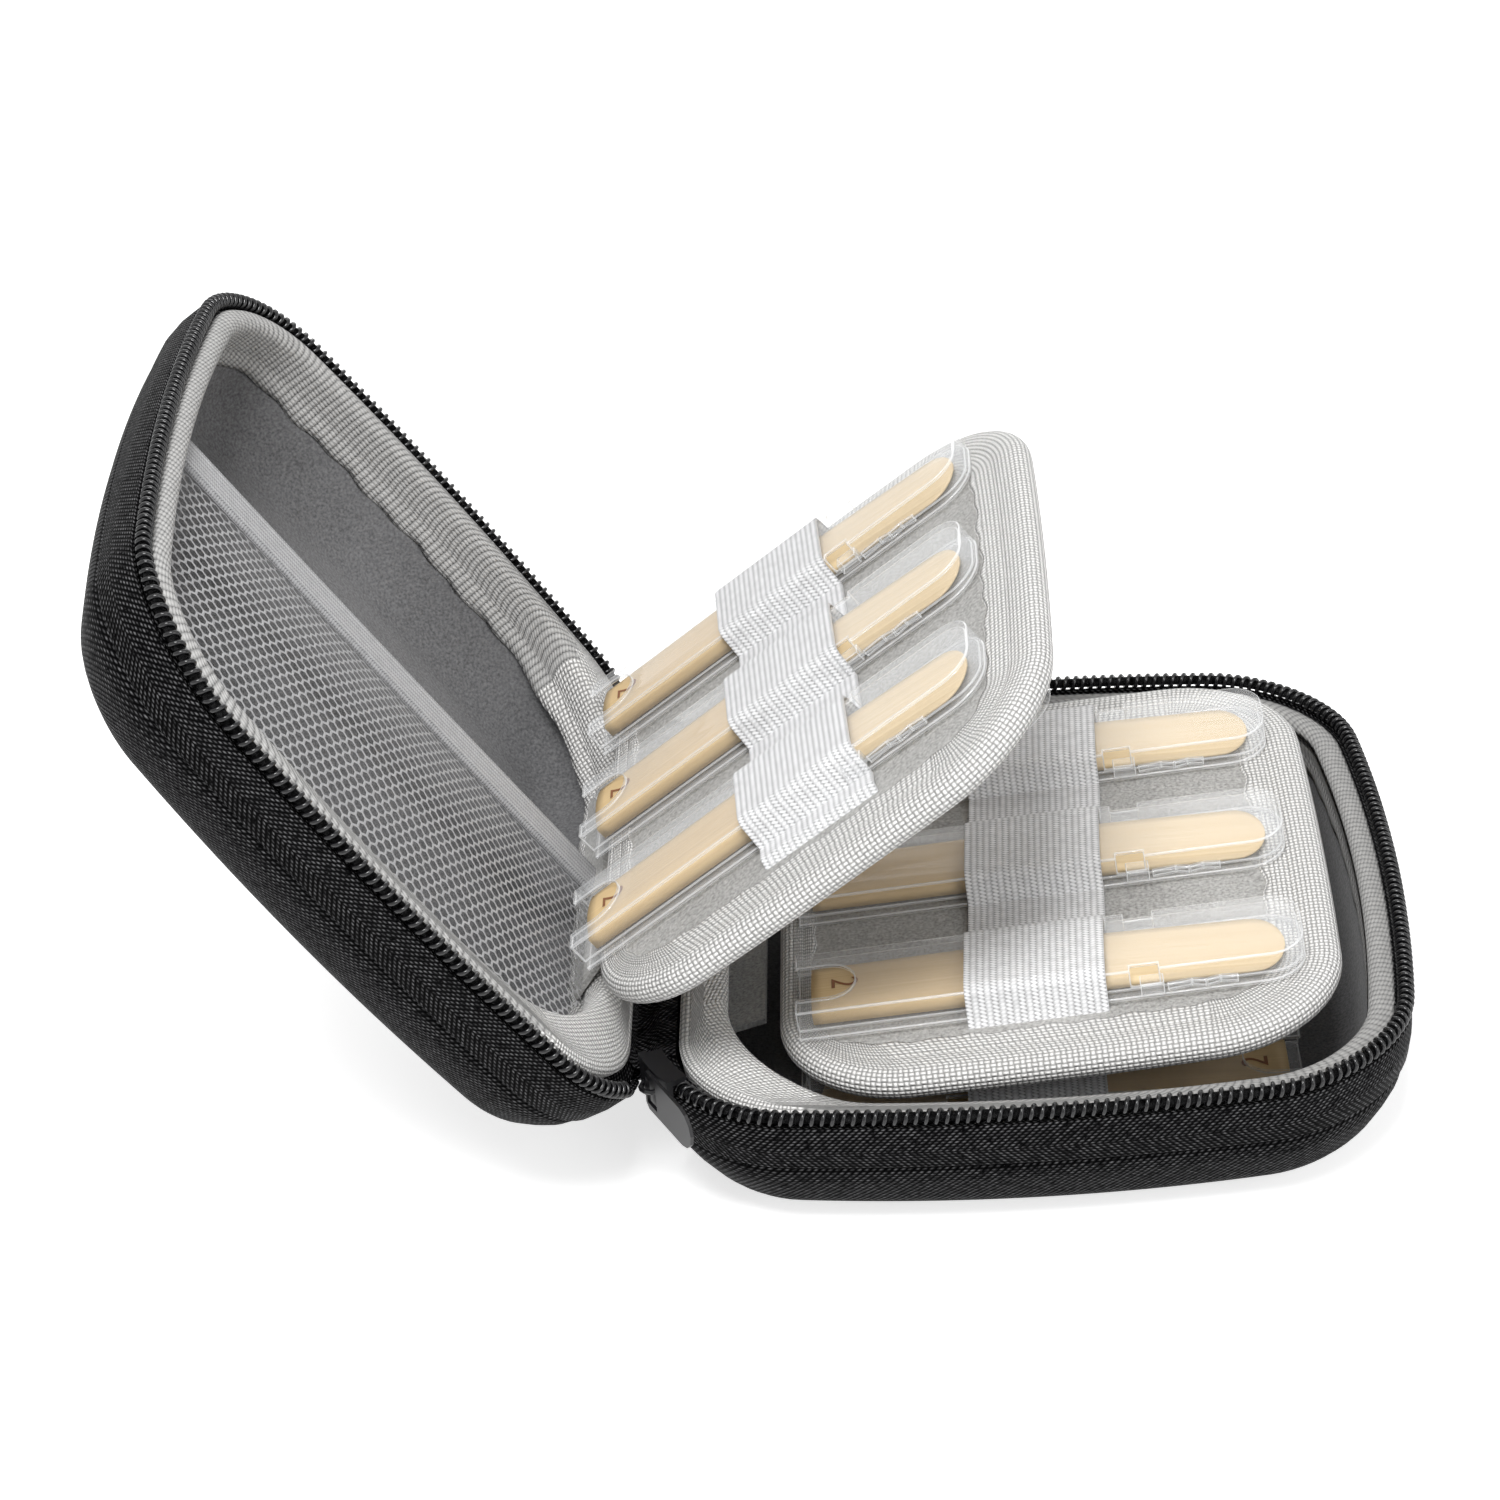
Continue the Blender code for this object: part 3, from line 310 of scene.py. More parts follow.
def twill(name, pitch, row, relief=0.2 * MM):
    """Fine diagonal yarns that turn back at each row, broken into short floats with painted highlights."""
    made, tree, shader = surface(name, 0.5, gloss=0.02)
    u, v = lengths(tree, pitch, row)
    slope = maths(tree, "MULTIPLY", maths(tree, "PINGPONG", v, 1.0), row / pitch)
    yarn = crown(tree, maths(tree, "ADD", u, slope))
    float_ends = crown(tree, maths(tree, "MULTIPLY", v, 2.0 * row / pitch))
    # lit is the painted highlight, bright only on the tops of the floats.
    lit = maths(tree, "POWER", maths(tree, "MULTIPLY", yarn, float_ends), SPARKLE)
    shown = mottled(tree, lit, scale=1100, swing=3.4, least=-1.0, use_clamp=True)
    toned(tree, shader, shown, SHADE, FLOAT_HIGHLIGHT)
    bumped(tree, shader, yarn, relief)
    return made


BLACK_TWILL = twill("black_twill", pitch=1.0 * MM, row=60.0 * MM)
BLACK_TAPE = twill("black_tape", pitch=0.95 * MM, row=4.2 * MM)

# %% [markdown]
# ## Linings and pages: velour
#
# Velour is a short pile with no weave to see. What the eye reads is a grain of single tufts, and soft patches
# where the pile leans another way. Hair would model the pile itself, and weigh millions of strands. Two
# noises, one fine and one broad, look the same from a hand's length. They crowd round a half, so a Map Range
# node spreads the middle of their range over the two tones.

# %% Brush the velours
PILE_SHARE = 0.82
PATCH_SCALE = 60.0
PILE_RANGE = (0.32, 0.68)
PILE_RELIEF = 0.25 * MM


def velour(name, dark, light, scale):
    made, tree, shader = surface(name, 0.95, sheen=0.2, gloss=0.1)
    pile = speckle(tree, scale, detail=6.0)
    patch = speckle(tree, PATCH_SCALE, detail=2.0)
    tufts = maths(tree, "MULTIPLY", pile, PILE_SHARE)
    mixed = maths(tree, "ADD", tufts, maths(tree, "MULTIPLY", patch, 1 - PILE_SHARE))
    spread = add(tree, "ShaderNodeMapRange", mixed, *PILE_RANGE)
    toned(tree, shader, spread, dark, light)
    bumped(tree, shader, pile, PILE_RELIEF, strength=0.6)
    return made


GREY_VELOUR = velour("grey_velour", (0.09, 0.09, 0.093), (0.21, 0.21, 0.215), 2400.0)
# A darker copy of the pages' light velour, for page B's flap, which lies in shade: painted shade.
SHADED_VELOUR = velour("shaded_velour", (0.15, 0.15, 0.15), (0.36, 0.36, 0.355), 2300.0)
LIGHT_VELOUR = velour("light_velour", (0.25, 0.245, 0.235), (0.55, 0.545, 0.53), 2200.0)

# %% [markdown]
# ## The pocket: knitted mesh
#
# The lid's pocket is a net of six-sided holes, and the lining shows through them. Thousands of holes could be
# cut in the mesh. A shader that is clear in each hole costs nothing, and the holes stay crisp. Two grids of
# cells, one moved by half a cell, make a honeycomb: at each spot the nearer centre wins.

# %% Knit the mesh
THREAD_SHARE = 0.22
HEXAGON_SLANT = (0.5, 1.5)
NET_RELIEF = 0.4 * MM


def from_middle(tree, count, shift):
    """How far a count lies from the middle of its cell, once it is moved by shift."""
    part = maths(tree, "FRACT", maths(tree, "ADD", count, shift))
    return maths(tree, "ABSOLUTE", maths(tree, "SUBTRACT", part, 0.5))


def netting(name, pitch, dark, light):
    """A honeycomb of clear holes between threads."""
    made, tree, shader = surface(name, 0.7, gloss=0.2)
    u, v = lengths(tree, pitch, pitch * math.sqrt(3))
    cells = []
    for shift in (0.0, 0.5):
        x, y = from_middle(tree, u, shift), from_middle(tree, v, shift)
        steep = maths(tree, "MULTIPLY", y, HEXAGON_SLANT[1])
        slanted = maths(tree, "MULTIPLY_ADD", x, HEXAGON_SLANT[0], steep)
        cells.append(maths(tree, "MAXIMUM", x, slanted))
    rim = maths(tree, "MINIMUM", *cells)
    hole = maths(tree, "LESS_THAN", rim, (1 - THREAD_SHARE) / 2)
    tree.links.new(maths(tree, "SUBTRACT", 1.0, hole), shader.inputs["Alpha"])
    toned(tree, shader, speckle(tree, 700), dark, light)
    bumped(tree, shader, rim, NET_RELIEF)
    return made


MESH = netting("grey_mesh", 1.9 * MM, (0.26, 0.26, 0.265), (0.50, 0.50, 0.505))

# %% [markdown]
# ## Holders: clear moulded plastic
#
# Thin clear plastic hardly bends light, but it whitens where it is seen edge on. Real glass settings would
# be the first idea. Through six or more thin walls they turn dark and noisy. So a see-through shader is
# mixed with a glossy white one, and Layer Weight says how edge-on the wall is. That edge-on white is partly
# the white shader's gloss and partly painted reflection in its white colour. The moulded edges, where light
# gathers, get a whiter version of the same as a painted highlight.

# %% Mould the plastic
EDGE_ON_POWER = 2.6
SEE_THROUGH = (0.99, 0.99, 0.99, 1)


def clear(name, tint, haze, edge):
    """haze is how white a wall is face on, and edge how much whiter it is edge on, a painted reflection."""
    made, tree, shader = surface(name, 0.08, gloss=0.8)
    shader.inputs["Base Color"].default_value = (*tint, 1.0)
    through = add(tree, "ShaderNodeBsdfTransparent", SEE_THROUGH)
    weight = add(tree, "ShaderNodeLayerWeight", 0.5).node
    facing = maths(tree, "POWER", weight.outputs["Facing"], EDGE_ON_POWER)
    cover = maths(tree, "MINIMUM", maths(tree, "MULTIPLY_ADD", facing, edge, haze), 1.0)
    mixed = add(tree, "ShaderNodeMixShader", cover, through, shader.outputs[0])
    tree.links.new(mixed, tree.nodes["Material Output"].inputs["Surface"])
    return made


# The edge-on white is painted reflection beside the gloss; the whiter copy for the bevels is a painted
# highlight.
CLEAR = clear("clear_plastic", (0.90, 0.92, 0.94), haze=0.055, edge=0.45)
CLEAR_HIGHLIGHT = clear("clear_plastic_highlight", (0.95, 0.96, 0.97), haze=0.42, edge=0.5)

# %% [markdown]
# ## Reeds: cane
#
# A reed is split cane. Its heel keeps the honey-coloured bark, and the cut part in front of it is paler. The
# fibres run along the reed, so the noise is read from a stretched copy of the lengths: slow along the reed
# and fast across it. Where the length passes the bark's own, the paler pair of colours takes over.

# %% Split the cane
REED_BARK_LENGTH = 31.0 * MM
FIBRES_ALONG = 25.0
FIBRES_ACROSS = 2500.0
BARK = ((0.60, 0.41, 0.19), (0.86, 0.66, 0.38))
VAMP = ((0.66, 0.49, 0.27), (0.86, 0.70, 0.46))


def cane_wood(name):
    made, tree, shader = surface(name, 0.5, gloss=0.3)
    u, v = lengths(tree)
    stretched = [maths(tree, "MULTIPLY", u, FIBRES_ALONG), maths(tree, "MULTIPLY", v, FIBRES_ACROSS)]
    fibres = tree.nodes.new("ShaderNodeTexNoise")
    tree.links.new(add(tree, "ShaderNodeCombineXYZ", *stretched), fibres.inputs["Vector"])
    fibres.inputs["Scale"].default_value = 1.0
    fibres.inputs["Detail"].default_value = 2.0
    bark, vamp = (blended(tree, fibres.outputs[0], *pair) for pair in (BARK, VAMP))
    toned(tree, shader, maths(tree, "GREATER_THAN", u, REED_BARK_LENGTH), bark, vamp)
    return made


CANE = cane_wood("cane")
INK = plain("brown_ink", (0.25, 0.10, 0.04), 0.6)

# %% [markdown]
# ## Black parts
#
# The zip's coil is smooth nylon, and its slider is painted metal with a duller coat. Neither has a grain that
# shows at this size, and their shape does the work: light breaks on each turn of the coil. One colour and
# one roughness are enough here.

# %% Paint the coil and the slider
BLACK_COIL = plain("black_coil", (0.006, 0.006, 0.007), 0.18)
BLACK_METAL = plain("black_metal", (0.004, 0.004, 0.005), 0.38)

# %% [markdown]
# ## A rounded rectangle that bows
#
# Seen from above, the case and its pages are rounded rectangles whose three free sides bow out a little. A
# bevelled square would give the corners but not the bow. Here the outline is worked out point by point, four
# arcs and four straight runs, and then bent. All outlines have the same number of points in the same order,
# so any two of them can be joined into a wall.

# %% Draw a rounded outline
CORNER_STEPS = 14
SIDE_STEPS = 40
BOW_GAIN = 4


def rounded_outline(low, high, half, corners, bow):
    """Anticlockwise from the hinge side's near end. corners are the radii at the hinge side and the free
    side."""
    hinge_corner, free_corner = corners
    centres = (
        (low + hinge_corner, hinge_corner - half, hinge_corner, 180),
        (high - free_corner, free_corner - half, free_corner, 270),
        (high - free_corner, half - free_corner, free_corner, 0),
        (low + hinge_corner, half - hinge_corner, hinge_corner, 90),
    )
    arcs = []
    for x, y, radius, start in centres:
        turns = [math.radians(start + 90 * step / CORNER_STEPS) for step in range(CORNER_STEPS + 1)]
        arcs.append([Vector((x + radius * math.cos(turn), y + radius * math.sin(turn))) for turn in turns])
    points = []
    for arc, after in zip(arcs, arcs[1:] + arcs[:1]):
        points += arc
        points += [arc[-1].lerp(after[0], step / SIDE_STEPS) for step in range(1, SIDE_STEPS)]
    bowed = []
    for point in points:
        u, v = (point.x - low) / (high - low), point.y / half
        swell = Vector((bow * u * (1 - v * v), bow * v * BOW_GAIN * u * (1 - u)))
        bowed.append(point + swell)
    return bowed


def at_height(outline, height):
    return [Vector((point.x, point.y, height)) for point in outline]


def running_lengths(points):
    """How far along the line each point lies."""
    total = [0.0]
    for before, after in zip(points, points[1:]):
        total.append(total[-1] + (after - before).length)
    return total


# %% Draw the case's rim, and a ring of its wall
RIM_WIDTH = 107.6 * MM
RIM_BOW = 4.3 * MM
RIM_CORNER = 18.4 * MM
LEAN_POWER = 3
LEANS = {"lower": (11.0 * MM, 6.5 * MM), "lid": (6.5 * MM, 10.5 * MM)}


def rim_outline(inset, hinge_inset=None, hinge_corner=None):
    """The rim's line, moved in by inset, and by hinge_inset on the hinge side."""
    hinge = inset if hinge_inset is None else hinge_inset
    corner = RIM_CORNER - inset
    corners = (corner if hinge_corner is None else hinge_corner, corner)
    return rounded_outline(hinge, RIM_LENGTH - inset, RIM_WIDTH / 2 - inset, corners, RIM_BOW)


def wall_outline(side, inset, height, hinge_inset=None, hinge_corner=None):
    """A ring of the shell's wall, which comes in slowly under the rim and faster near the base."""
    share = (max(0, -height) / RIM_HEIGHT) ** LEAN_POWER
    hinge_lean, free_lean = (lean * share for lean in LEANS[side])
    hinge = inset + hinge_lean if hinge_inset is None else hinge_inset
    free = inset + free_lean
    hinge_radius = hinge_corner or max(RIM_CORNER - (hinge + free) / 2, MM)
    corners = (hinge_radius, max(RIM_CORNER - free, MM))
    outline = rounded_outline(hinge, RIM_LENGTH - free, RIM_WIDTH / 2 - free, corners, RIM_BOW)
    return at_height(outline, height)


rim_line = rim_outline(0)
print(f"the rim is {running_lengths(rim_line)[-1] / MM:.0f} mm round, with {len(rim_line)} points")

# %% [markdown]
# ## A skin: one ring of edges, extruded again and again
#
# Shells, linings, bindings and straps are all walls between rings. Such a wall could be lofted from curves.
# Extruding works on any ring: the first becomes a loop of edges, extrude_edge_only grows the next from it,
# and each new vertex is moved to its own place. Two whole-number layers remember every vertex's column and
# row, so the lengths for the weave can be written afterwards, wherever the skin goes.

# %% Grow the rings
def grow_rings(bm, rings, closed, around):
    """Extrudes one ring of edges to each of the next. Returns the edges of every ring."""
    column, row = bm.verts.layers.int.new("column"), bm.verts.layers.int.new("row")
    first = [bm.verts.new(point) for point in rings[0]]
    for index, vertex in enumerate(first):
        vertex[column] = index
    pairs = list(zip(first, first[1:])) + ([(first[-1], first[0])] if closed else [])
    hems = [[bm.edges.new(pair) for pair in pairs]]
    for number, ring in enumerate(rings[1:] + (rings[:1] if around else []), 1):
        grown = bmesh.ops.extrude_edge_only(bm, edges=hems[-1])["geom"]
        for vertex in [part for part in grown if isinstance(part, bmesh.types.BMVert)]:
            vertex.co = ring[vertex[column]]
            vertex[row] = number % len(rings)
        edges = [part for part in grown if isinstance(part, bmesh.types.BMEdge)]
        hems.append([edge for edge in edges if all(end[row] == number % len(rings) for end in edge.verts)])
    return hems


# %% Write the cloth's lengths to its UV map
def write_lengths(bm, rings, fitted):
    """fitted measures every column by itself, where the rings lie closer on one side than on the other."""
    uv = bm.loops.layers.uv["UVMap"]
    column, row = bm.verts.layers.int["column"], bm.verts.layers.int["row"]
    count = len(rings[0])
    middle = list(rings[len(rings) // 2])
    across = running_lengths(middle + middle[:1])
    along = []
    for index in range(count):
        measured = index if fitted else count // 3
        along.append(running_lengths([ring[measured] for ring in rings + rings[:1]]))
    for face in bm.faces:
        columns = [loop.vert[column] for loop in face.loops]
        rows = [loop.vert[row] for loop in face.loops]
        for loop, i, j in zip(face.loops, columns, rows):
            past_seam = i == 0 and max(columns) > 1
            past_end = j == 0 and max(rows) > 1
            loop[uv].uv = (across[count if past_seam else i], along[i][len(rings) if past_end else j])


# %% Finish a piece, and make a skin
def finished(name, bm, look, matrix=Matrix.Identity(4)):
    """The bmesh as an object, with its place in its mesh."""
    mesh = bpy.data.meshes.new(name)
    bm.to_mesh(mesh)
    bm.free()
    mesh.transform(matrix)
    mesh.materials.append(look)
    made = bpy.data.objects.new(name, mesh)
    bpy.context.scene.collection.objects.link(made)
    print(f"{name}: {len(mesh.polygons)} faces")
    return made


WELD = 1e-7


def skin(name, rings, look, matrix=Matrix.Identity(4), closed=True, around=False, caps=(), smooth=True,
         fitted=False):
    """closed joins each ring's ends, around joins the last ring to the first, and caps names the rings that
    a flat face fills."""
    bm = bmesh.new()
    uv = bm.loops.layers.uv.new("UVMap")
    hems = grow_rings(bm, rings, closed, around)
    write_lengths(bm, rings, fitted)
    for face in bm.faces:
        face.smooth = smooth
    for index in caps:
        for face in bmesh.ops.edgeloop_fill(bm, edges=hems[index])["faces"]:
            for loop in face.loops:
                loop[uv].uv = loop.vert.co.xy
    if around:
        bmesh.ops.remove_doubles(bm, verts=bm.verts[:], dist=WELD)
        bmesh.ops.holes_fill(bm, edges=[edge for edge in bm.edges if edge.is_boundary], sides=0)
    bmesh.ops.recalc_face_normals(bm, faces=bm.faces)
    return finished(name, bm, look, matrix)


# %% [markdown]
# ## What rides on what
#
# When the lid turns, its cloth has to turn with it. Parenting by hand would do, and here a function does it:
# each piece is parented to an empty named for its body, and hides the plain solids that it stands for. A
# solid whose own shape is right stays in view and only changes its material.

# %% Take a solid's place, or dress it
def stands_for(piece, body, slot, *nodes):
    """The piece rides on a body and hides the solids that it stands for. slot, the finish that it counts
    as, is not used.
    """
    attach(piece, body)
    if nodes:
        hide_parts(*nodes)


def dressed(node, look):
    """A solid that stays in view, with the scene's material on it."""
    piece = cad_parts[node]
    piece.data.materials.clear()
    piece.data.materials.append(look)
    print(f"{node}: {look.name}")


# %% [markdown]
# ## The shells' cloth and lining
#
# Each shell is moulded foam between cloth and velour. In section its wall drops from the rim, swells a
# little under the zip tape, and turns into the flat base in one round. The cloth and the lining are each a
# closed solid of their own, since a bare sheet would be seen through at its rim. Their sections are lists of
# points: how far in from the rim's line, and how high, in millimetres.

# %% Wrap the shells in cloth
SHELL_EDGE = (
    (12.0, -18.6), (9.0, -18.6), (5.2, -17.6), (3.5, -15.0), (3.4, -9.0), (3.0, -2.6), (2.9, -1.6),
    (1.2, -1.5), (0.5, -1.8), (0.35, -4.0), (0.3, -8.2), (0.1, -8.9), (-0.3, -9.8), (-0.3, -11.5),
    (0.0, -13.5),
)
SHELL_ROUND = 6.0
SHELL_WALL = 0.3
SHELL_BASE = -21.5
ROUND_STEPS = 12


def round_into(wall, radius, base, steps):
    """A quarter circle from a wall down to a base."""
    turns = [math.radians(90 * step / steps) for step in range(steps + 1)]
    return [(wall + radius * (1 - math.cos(turn)), base + radius - radius * math.sin(turn)) for turn in turns]


def shell(side, body, matrix):
    profile = [*SHELL_EDGE, *round_into(SHELL_WALL, SHELL_ROUND, SHELL_BASE, ROUND_STEPS)]
    profile += [(9.0, SHELL_BASE), (12.0, SHELL_BASE)]
    rings = [wall_outline(side, inset * MM, height * MM) for inset, height in profile]
    made = skin(f"{side}_shell_cloth", rings, BLACK_TWILL, matrix, caps=(0, -1))
    stands_for(made, body, "black_twill", f"{side}_shell")


# %% Line them with velour
LINING_EDGE = ((4.0, -8.0), (4.25, -9.0), (4.3, -12.0))
LINING_WALL = 4.3
LINING_ROUND = 3.0
LINING_FLOOR = -17.8
LINING_THICKNESS = 0.3
LINING_STEPS = 8


def lining(side, body, matrix):
    profile = [*LINING_EDGE, *round_into(LINING_WALL, LINING_ROUND, LINING_FLOOR, LINING_STEPS)]
    profile += [(9.0, LINING_FLOOR), (12.0, LINING_FLOOR)]
    under = [(inset - LINING_THICKNESS, height - LINING_THICKNESS) for inset, height in reversed(profile)]
    rings = [wall_outline(side, inset * MM, height * MM) for inset, height in under + profile]
    made = skin(f"{side}_lining_pile", rings, GREY_VELOUR, matrix, caps=(0, -1))
    stands_for(made, body, "grey_velour", f"{side}_lining")


# %% [markdown]
# ## The rim's binding
#
# A woven binding hooks over each rim. On the hinge side it is a fat roll, and round the free sides it turns
# into a ribbed tape that lies flat. Two pieces would leave a joint to hide. One closed ribbon does both: its
# section has a second inset for the hinge side, and the faces past a line take the tape's material. Sewn by
# hand, its lower hem is never quite straight, so two waves of unlike pace ripple it.

# %% Bind the rims
BINDING_SECTION = (
    (1.55, 3.7, -1.3), (1.5, 3.6, -0.2), (1.9, 4.2, 0.35), (2.7, 5.2, 0.6), (3.6, 7.0, 0.7),
    (4.4, 8.8, 0.5), (4.9, 9.9, 0.0), (5.1, 10.3, -0.8), (5.0, 10.3, -2.0), (4.9, 9.9, -3.6),
    (4.8, 9.3, -4.6), (4.6, 8.7, -5.3), (4.9, 8.9, -6.2), (4.8, 8.8, -7.4), (4.5, 8.5, -8.4),
    (3.5, 4.4, -8.4),
)
ROLL_CORNER = 22.0 * MM
ROLL_INSIDE = 6.0
ROLL_REACH = 22.0 * MM
HEM_HEIGHT = -7.0
HEM_PACES = (1.1, 0.47)
RIPPLES = (0.3 * MM, 0.25 * MM)


def ripple(index, paces):
    """The uneven line of a hand-guided seam."""
    return sum(size * math.sin(index * pace) for size, pace in zip(RIPPLES, paces))


LOW_TAPE_LEVEL = -1.0
LOW_TAPE_DROP = 1.5 * MM
LOW_TAPE_TOP = -1.25 * MM
LOW_TAPE_START = 12.0 * MM
LOW_TAPE_RUN = 14.0 * MM
BINDING_REACH = 8.4 * MM
CREST_INSET = 3.2


def sink_free_side(ring, inset):
    """The lower tape lies lower on its free sides, behind the coil."""
    lowest = LOW_TAPE_TOP if inset < CREST_INSET else -BINDING_REACH
    for point in ring:
        share = min(max((point.x - LOW_TAPE_START) / LOW_TAPE_RUN, 0), 1)
        point.z = max(point.z - LOW_TAPE_DROP * share, lowest)


def rim_roll(side, body, matrix, tape):
    rings = []
    for inset, hinge_inset, height in BINDING_SECTION:
        corner = ROLL_CORNER if hinge_inset > ROLL_INSIDE else None
        ring = wall_outline(side, inset * MM, height * MM, hinge_inset * MM, corner)
        if side == "lower" and height > LOW_TAPE_LEVEL:
            sink_free_side(ring, inset)
        if height <= HEM_HEIGHT:
            for index, point in enumerate(ring):
                point.z += ripple(index, HEM_PACES)
        rings.append(ring)
    made = skin(f"{side}_binding_ribbon", rings, BINDING, matrix, around=True, fitted=True)
    made.data.materials.append(tape)
    back = matrix.inverted()
    for face in made.data.polygons:
        if (back @ face.center).x > ROLL_REACH:
            face.material_index = 1
    stands_for(made, body, "silver_binding", f"{side}_binding")


# %% [markdown]
# ## The zip
#
# The zip runs round both rims and stops at the hinge corners. Its tape is a thin closed strip down the wall.
# Its teeth are one nylon wire wound into a coil, about a turn every millimetre and a half. Separate rings
# would be simpler, but only a true helix shows the slanted turns of a coil zip. A curve with a round bevel
# draws it, and a fatter straight curve inside it stands for the cord that the coil is sewn over.

# %% Sew the tape on
TAPE_SECTION = (
    (-0.55, -1.4), (-0.8, -1.6), (-0.85, -5.0), (-0.7, -8.2), (-0.3, -8.6), (0.1, -8.4), (0.1, -1.5),
)
TAPE_SKIPS = 2


def zip_run(outline, skipped):
    """The stretch of a rim outline that the zip follows, from one hinge corner round to the other."""
    return outline[skipped : len(outline) - (SIDE_STEPS - 1) - skipped]


def zip_tape(side, body, matrix):
    rings = [zip_run(wall_outline(side, a * MM, h * MM), TAPE_SKIPS) for a, h in TAPE_SECTION]
    made = skin(f"{side}_tape_cloth", rings, BLACK_TAPE, matrix, closed=False, around=True)
    stands_for(made, body, "black_tape", f"{side}_zip_tape")


# %% Wind the coil
COIL_SKIPS = 6
COIL_PITCH = 1.43 * MM
COIL_TURN_RADIUS = 0.9 * MM
COIL_TURN_POINTS = 14
COIL_WIRE = 0.34 * MM
COIL_CORE = 0.72 * MM


def wound(run):
    """Points of a helix round a line."""
    reach = running_lengths(run)
    count = int(reach[-1] / COIL_PITCH * COIL_TURN_POINTS)
    points = []
    index = 0
    for number in range(count + 1):
        gone = reach[-1] * number / count
        while index < len(reach) - 2 and reach[index + 1] < gone:
            index += 1
        along = (run[index + 1] - run[index]).normalized()
        out = Vector((along.y, -along.x, 0))
        turn = 2 * math.pi * number / COIL_TURN_POINTS
        point = run[index] + along * (gone - reach[index]) + out * (COIL_TURN_RADIUS * math.cos(turn))
        point.z += COIL_TURN_RADIUS * math.sin(turn)
        points.append(point)
    print(f"{reach[-1] / MM:.0f} mm of zip has {count / COIL_TURN_POINTS:.0f} turns")
    return points


def wire(name, points, thickness, look):
    """A round wire along a line of points."""
    curve = bpy.data.curves.new(name, "CURVE")
    curve.dimensions = "3D"
    curve.bevel_depth = thickness
    curve.materials.append(look)
    spline = curve.splines.new("POLY")
    spline.points.add(len(points) - 1)
    for spot, point in zip(spline.points, points):
        spot.co = (*point, 1)
    made = bpy.data.objects.new(name, curve)
    bpy.context.scene.collection.objects.link(made)
    return made


def zip_coil(side, body, matrix):
    run = [Vector((*point, 0)) for point in zip_run(rim_line, COIL_SKIPS)]
    coil = wire(f"{side}_coil_wire", [matrix @ point for point in wound(run)], COIL_WIRE, BLACK_COIL)
    coil.data.bevel_resolution = 2
    coil.data.use_fill_caps = True
    stands_for(coil, body, "black_coil", f"{side}_zip_coil")
    core = wire(f"{side}_coil_core", [matrix @ point for point in run], COIL_CORE, BLACK_TAPE)
    stands_for(core, body, "black_coil")


# %% Make both shells
for side, body, matrix, tape in (("lower", "lower_case", RIM, LOWER_TAPE), ("lid", "lid", LID, LID_TAPE)):
    shell(side, body, matrix)
    lining(side, body, matrix)
    rim_roll(side, body, matrix, tape)
    zip_tape(side, body, matrix)
    zip_coil(side, body, matrix)

# %% [markdown]
# ## The cloth hinge
#
# The case has no metal hinge. A black gusset joins the two rolls, and a band closes the gap behind them.
# Such cloth crosses the joint, so it can ride on neither shell alone. It is drawn once where the shells
# stand, one end in the lower rim's frame and the other in the lid's, with a smooth turn between. Its line
# sags between the shells, and has enough points there to bend without a kink.

# %% Join the shells with cloth
HINGE_CLOTH_HALF = 38.2 * MM
HINGE_CLOTH_COLUMNS = 48
HINGE_CLOTH_BENDS = 8
CREASE = 0.18 * MM
CREASE_PACE = 1.9


def hinge_cloth(name, node, lower_run, lid_run, sag):
    """Two runs of (x, z) points in millimetres, in the lower rim's frame and then in the lid's."""
    path = [RIM @ (Vector((x, 0, z)) * MM) for x, z in lower_run]
    path += [LID @ (Vector((x, 0, z)) * MM) for x, z in lid_run]
    split = len(lower_run)
    start, end = path[split - 1], path[split]
    line = path[:split]
    for step in range(1, HINGE_CLOTH_BENDS):
        share = step / HINGE_CLOTH_BENDS
        line.append(start.lerp(end, share) - Vector((0, 0, sag * MM * math.sin(math.pi * share))))
    line += path[split:]
    rings = []
    for step in range(HINGE_CLOTH_COLUMNS + 1):
        y = (2 * step / HINGE_CLOTH_COLUMNS - 1) * HINGE_CLOTH_HALF
        crease = CREASE * math.sin(step * CREASE_PACE)
        rings.append([point + Vector((0, y, crease)) for point in line])
    made = skin(name, rings, BLACK_TAPE, closed=False)
    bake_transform(made)
    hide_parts(node)
    print(f"{name}: {2 * HINGE_CLOTH_HALF / MM:.1f} mm wide and {running_lengths(line)[-1] / MM:.1f} mm long")


hinge_cloth("gusset_cloth", "hinge_gusset", [(3.1, -1.0), (0.4, -1.2)], [(1.2, -1.2), (3.1, -1.0)], 0.5)
hinge_cloth("band_cloth", "hinge_band", [(0.4, -8.0), (0.0, -4.4)], [(0.0, -3.0), (0.2, -8.0)], 0.2)

# %% Dress the pages' flaps
dressed("page_a_flap", LIGHT_VELOUR)
# Page B's flap takes the darker copy of the pages' velour: painted shade.
dressed("page_b_flap", SHADED_VELOUR)

# %% [markdown]
# ## The mesh pocket
#
# A net is stretched over the lid's near half, under an elastic band. A grid is the natural start: its rows
# are fitted between the band and the rim's bowed line, and it bulges where things would be stored. The lid's
# frame is turned over, so its near side is at +y. A shut case has no room for the bulge.

# %% Find the top of an outline
def outline_top(outline, x):
    """The highest y at which an outline crosses x."""
    found = []
    for a, b in zip(outline, outline[1:] + outline[:1]):
        if a.x != b.x and (a.x - x) * (b.x - x) <= 0:
            found.append(a.y + (b.y - a.y) * (x - a.x) / (b.x - a.x))
    return max(found)


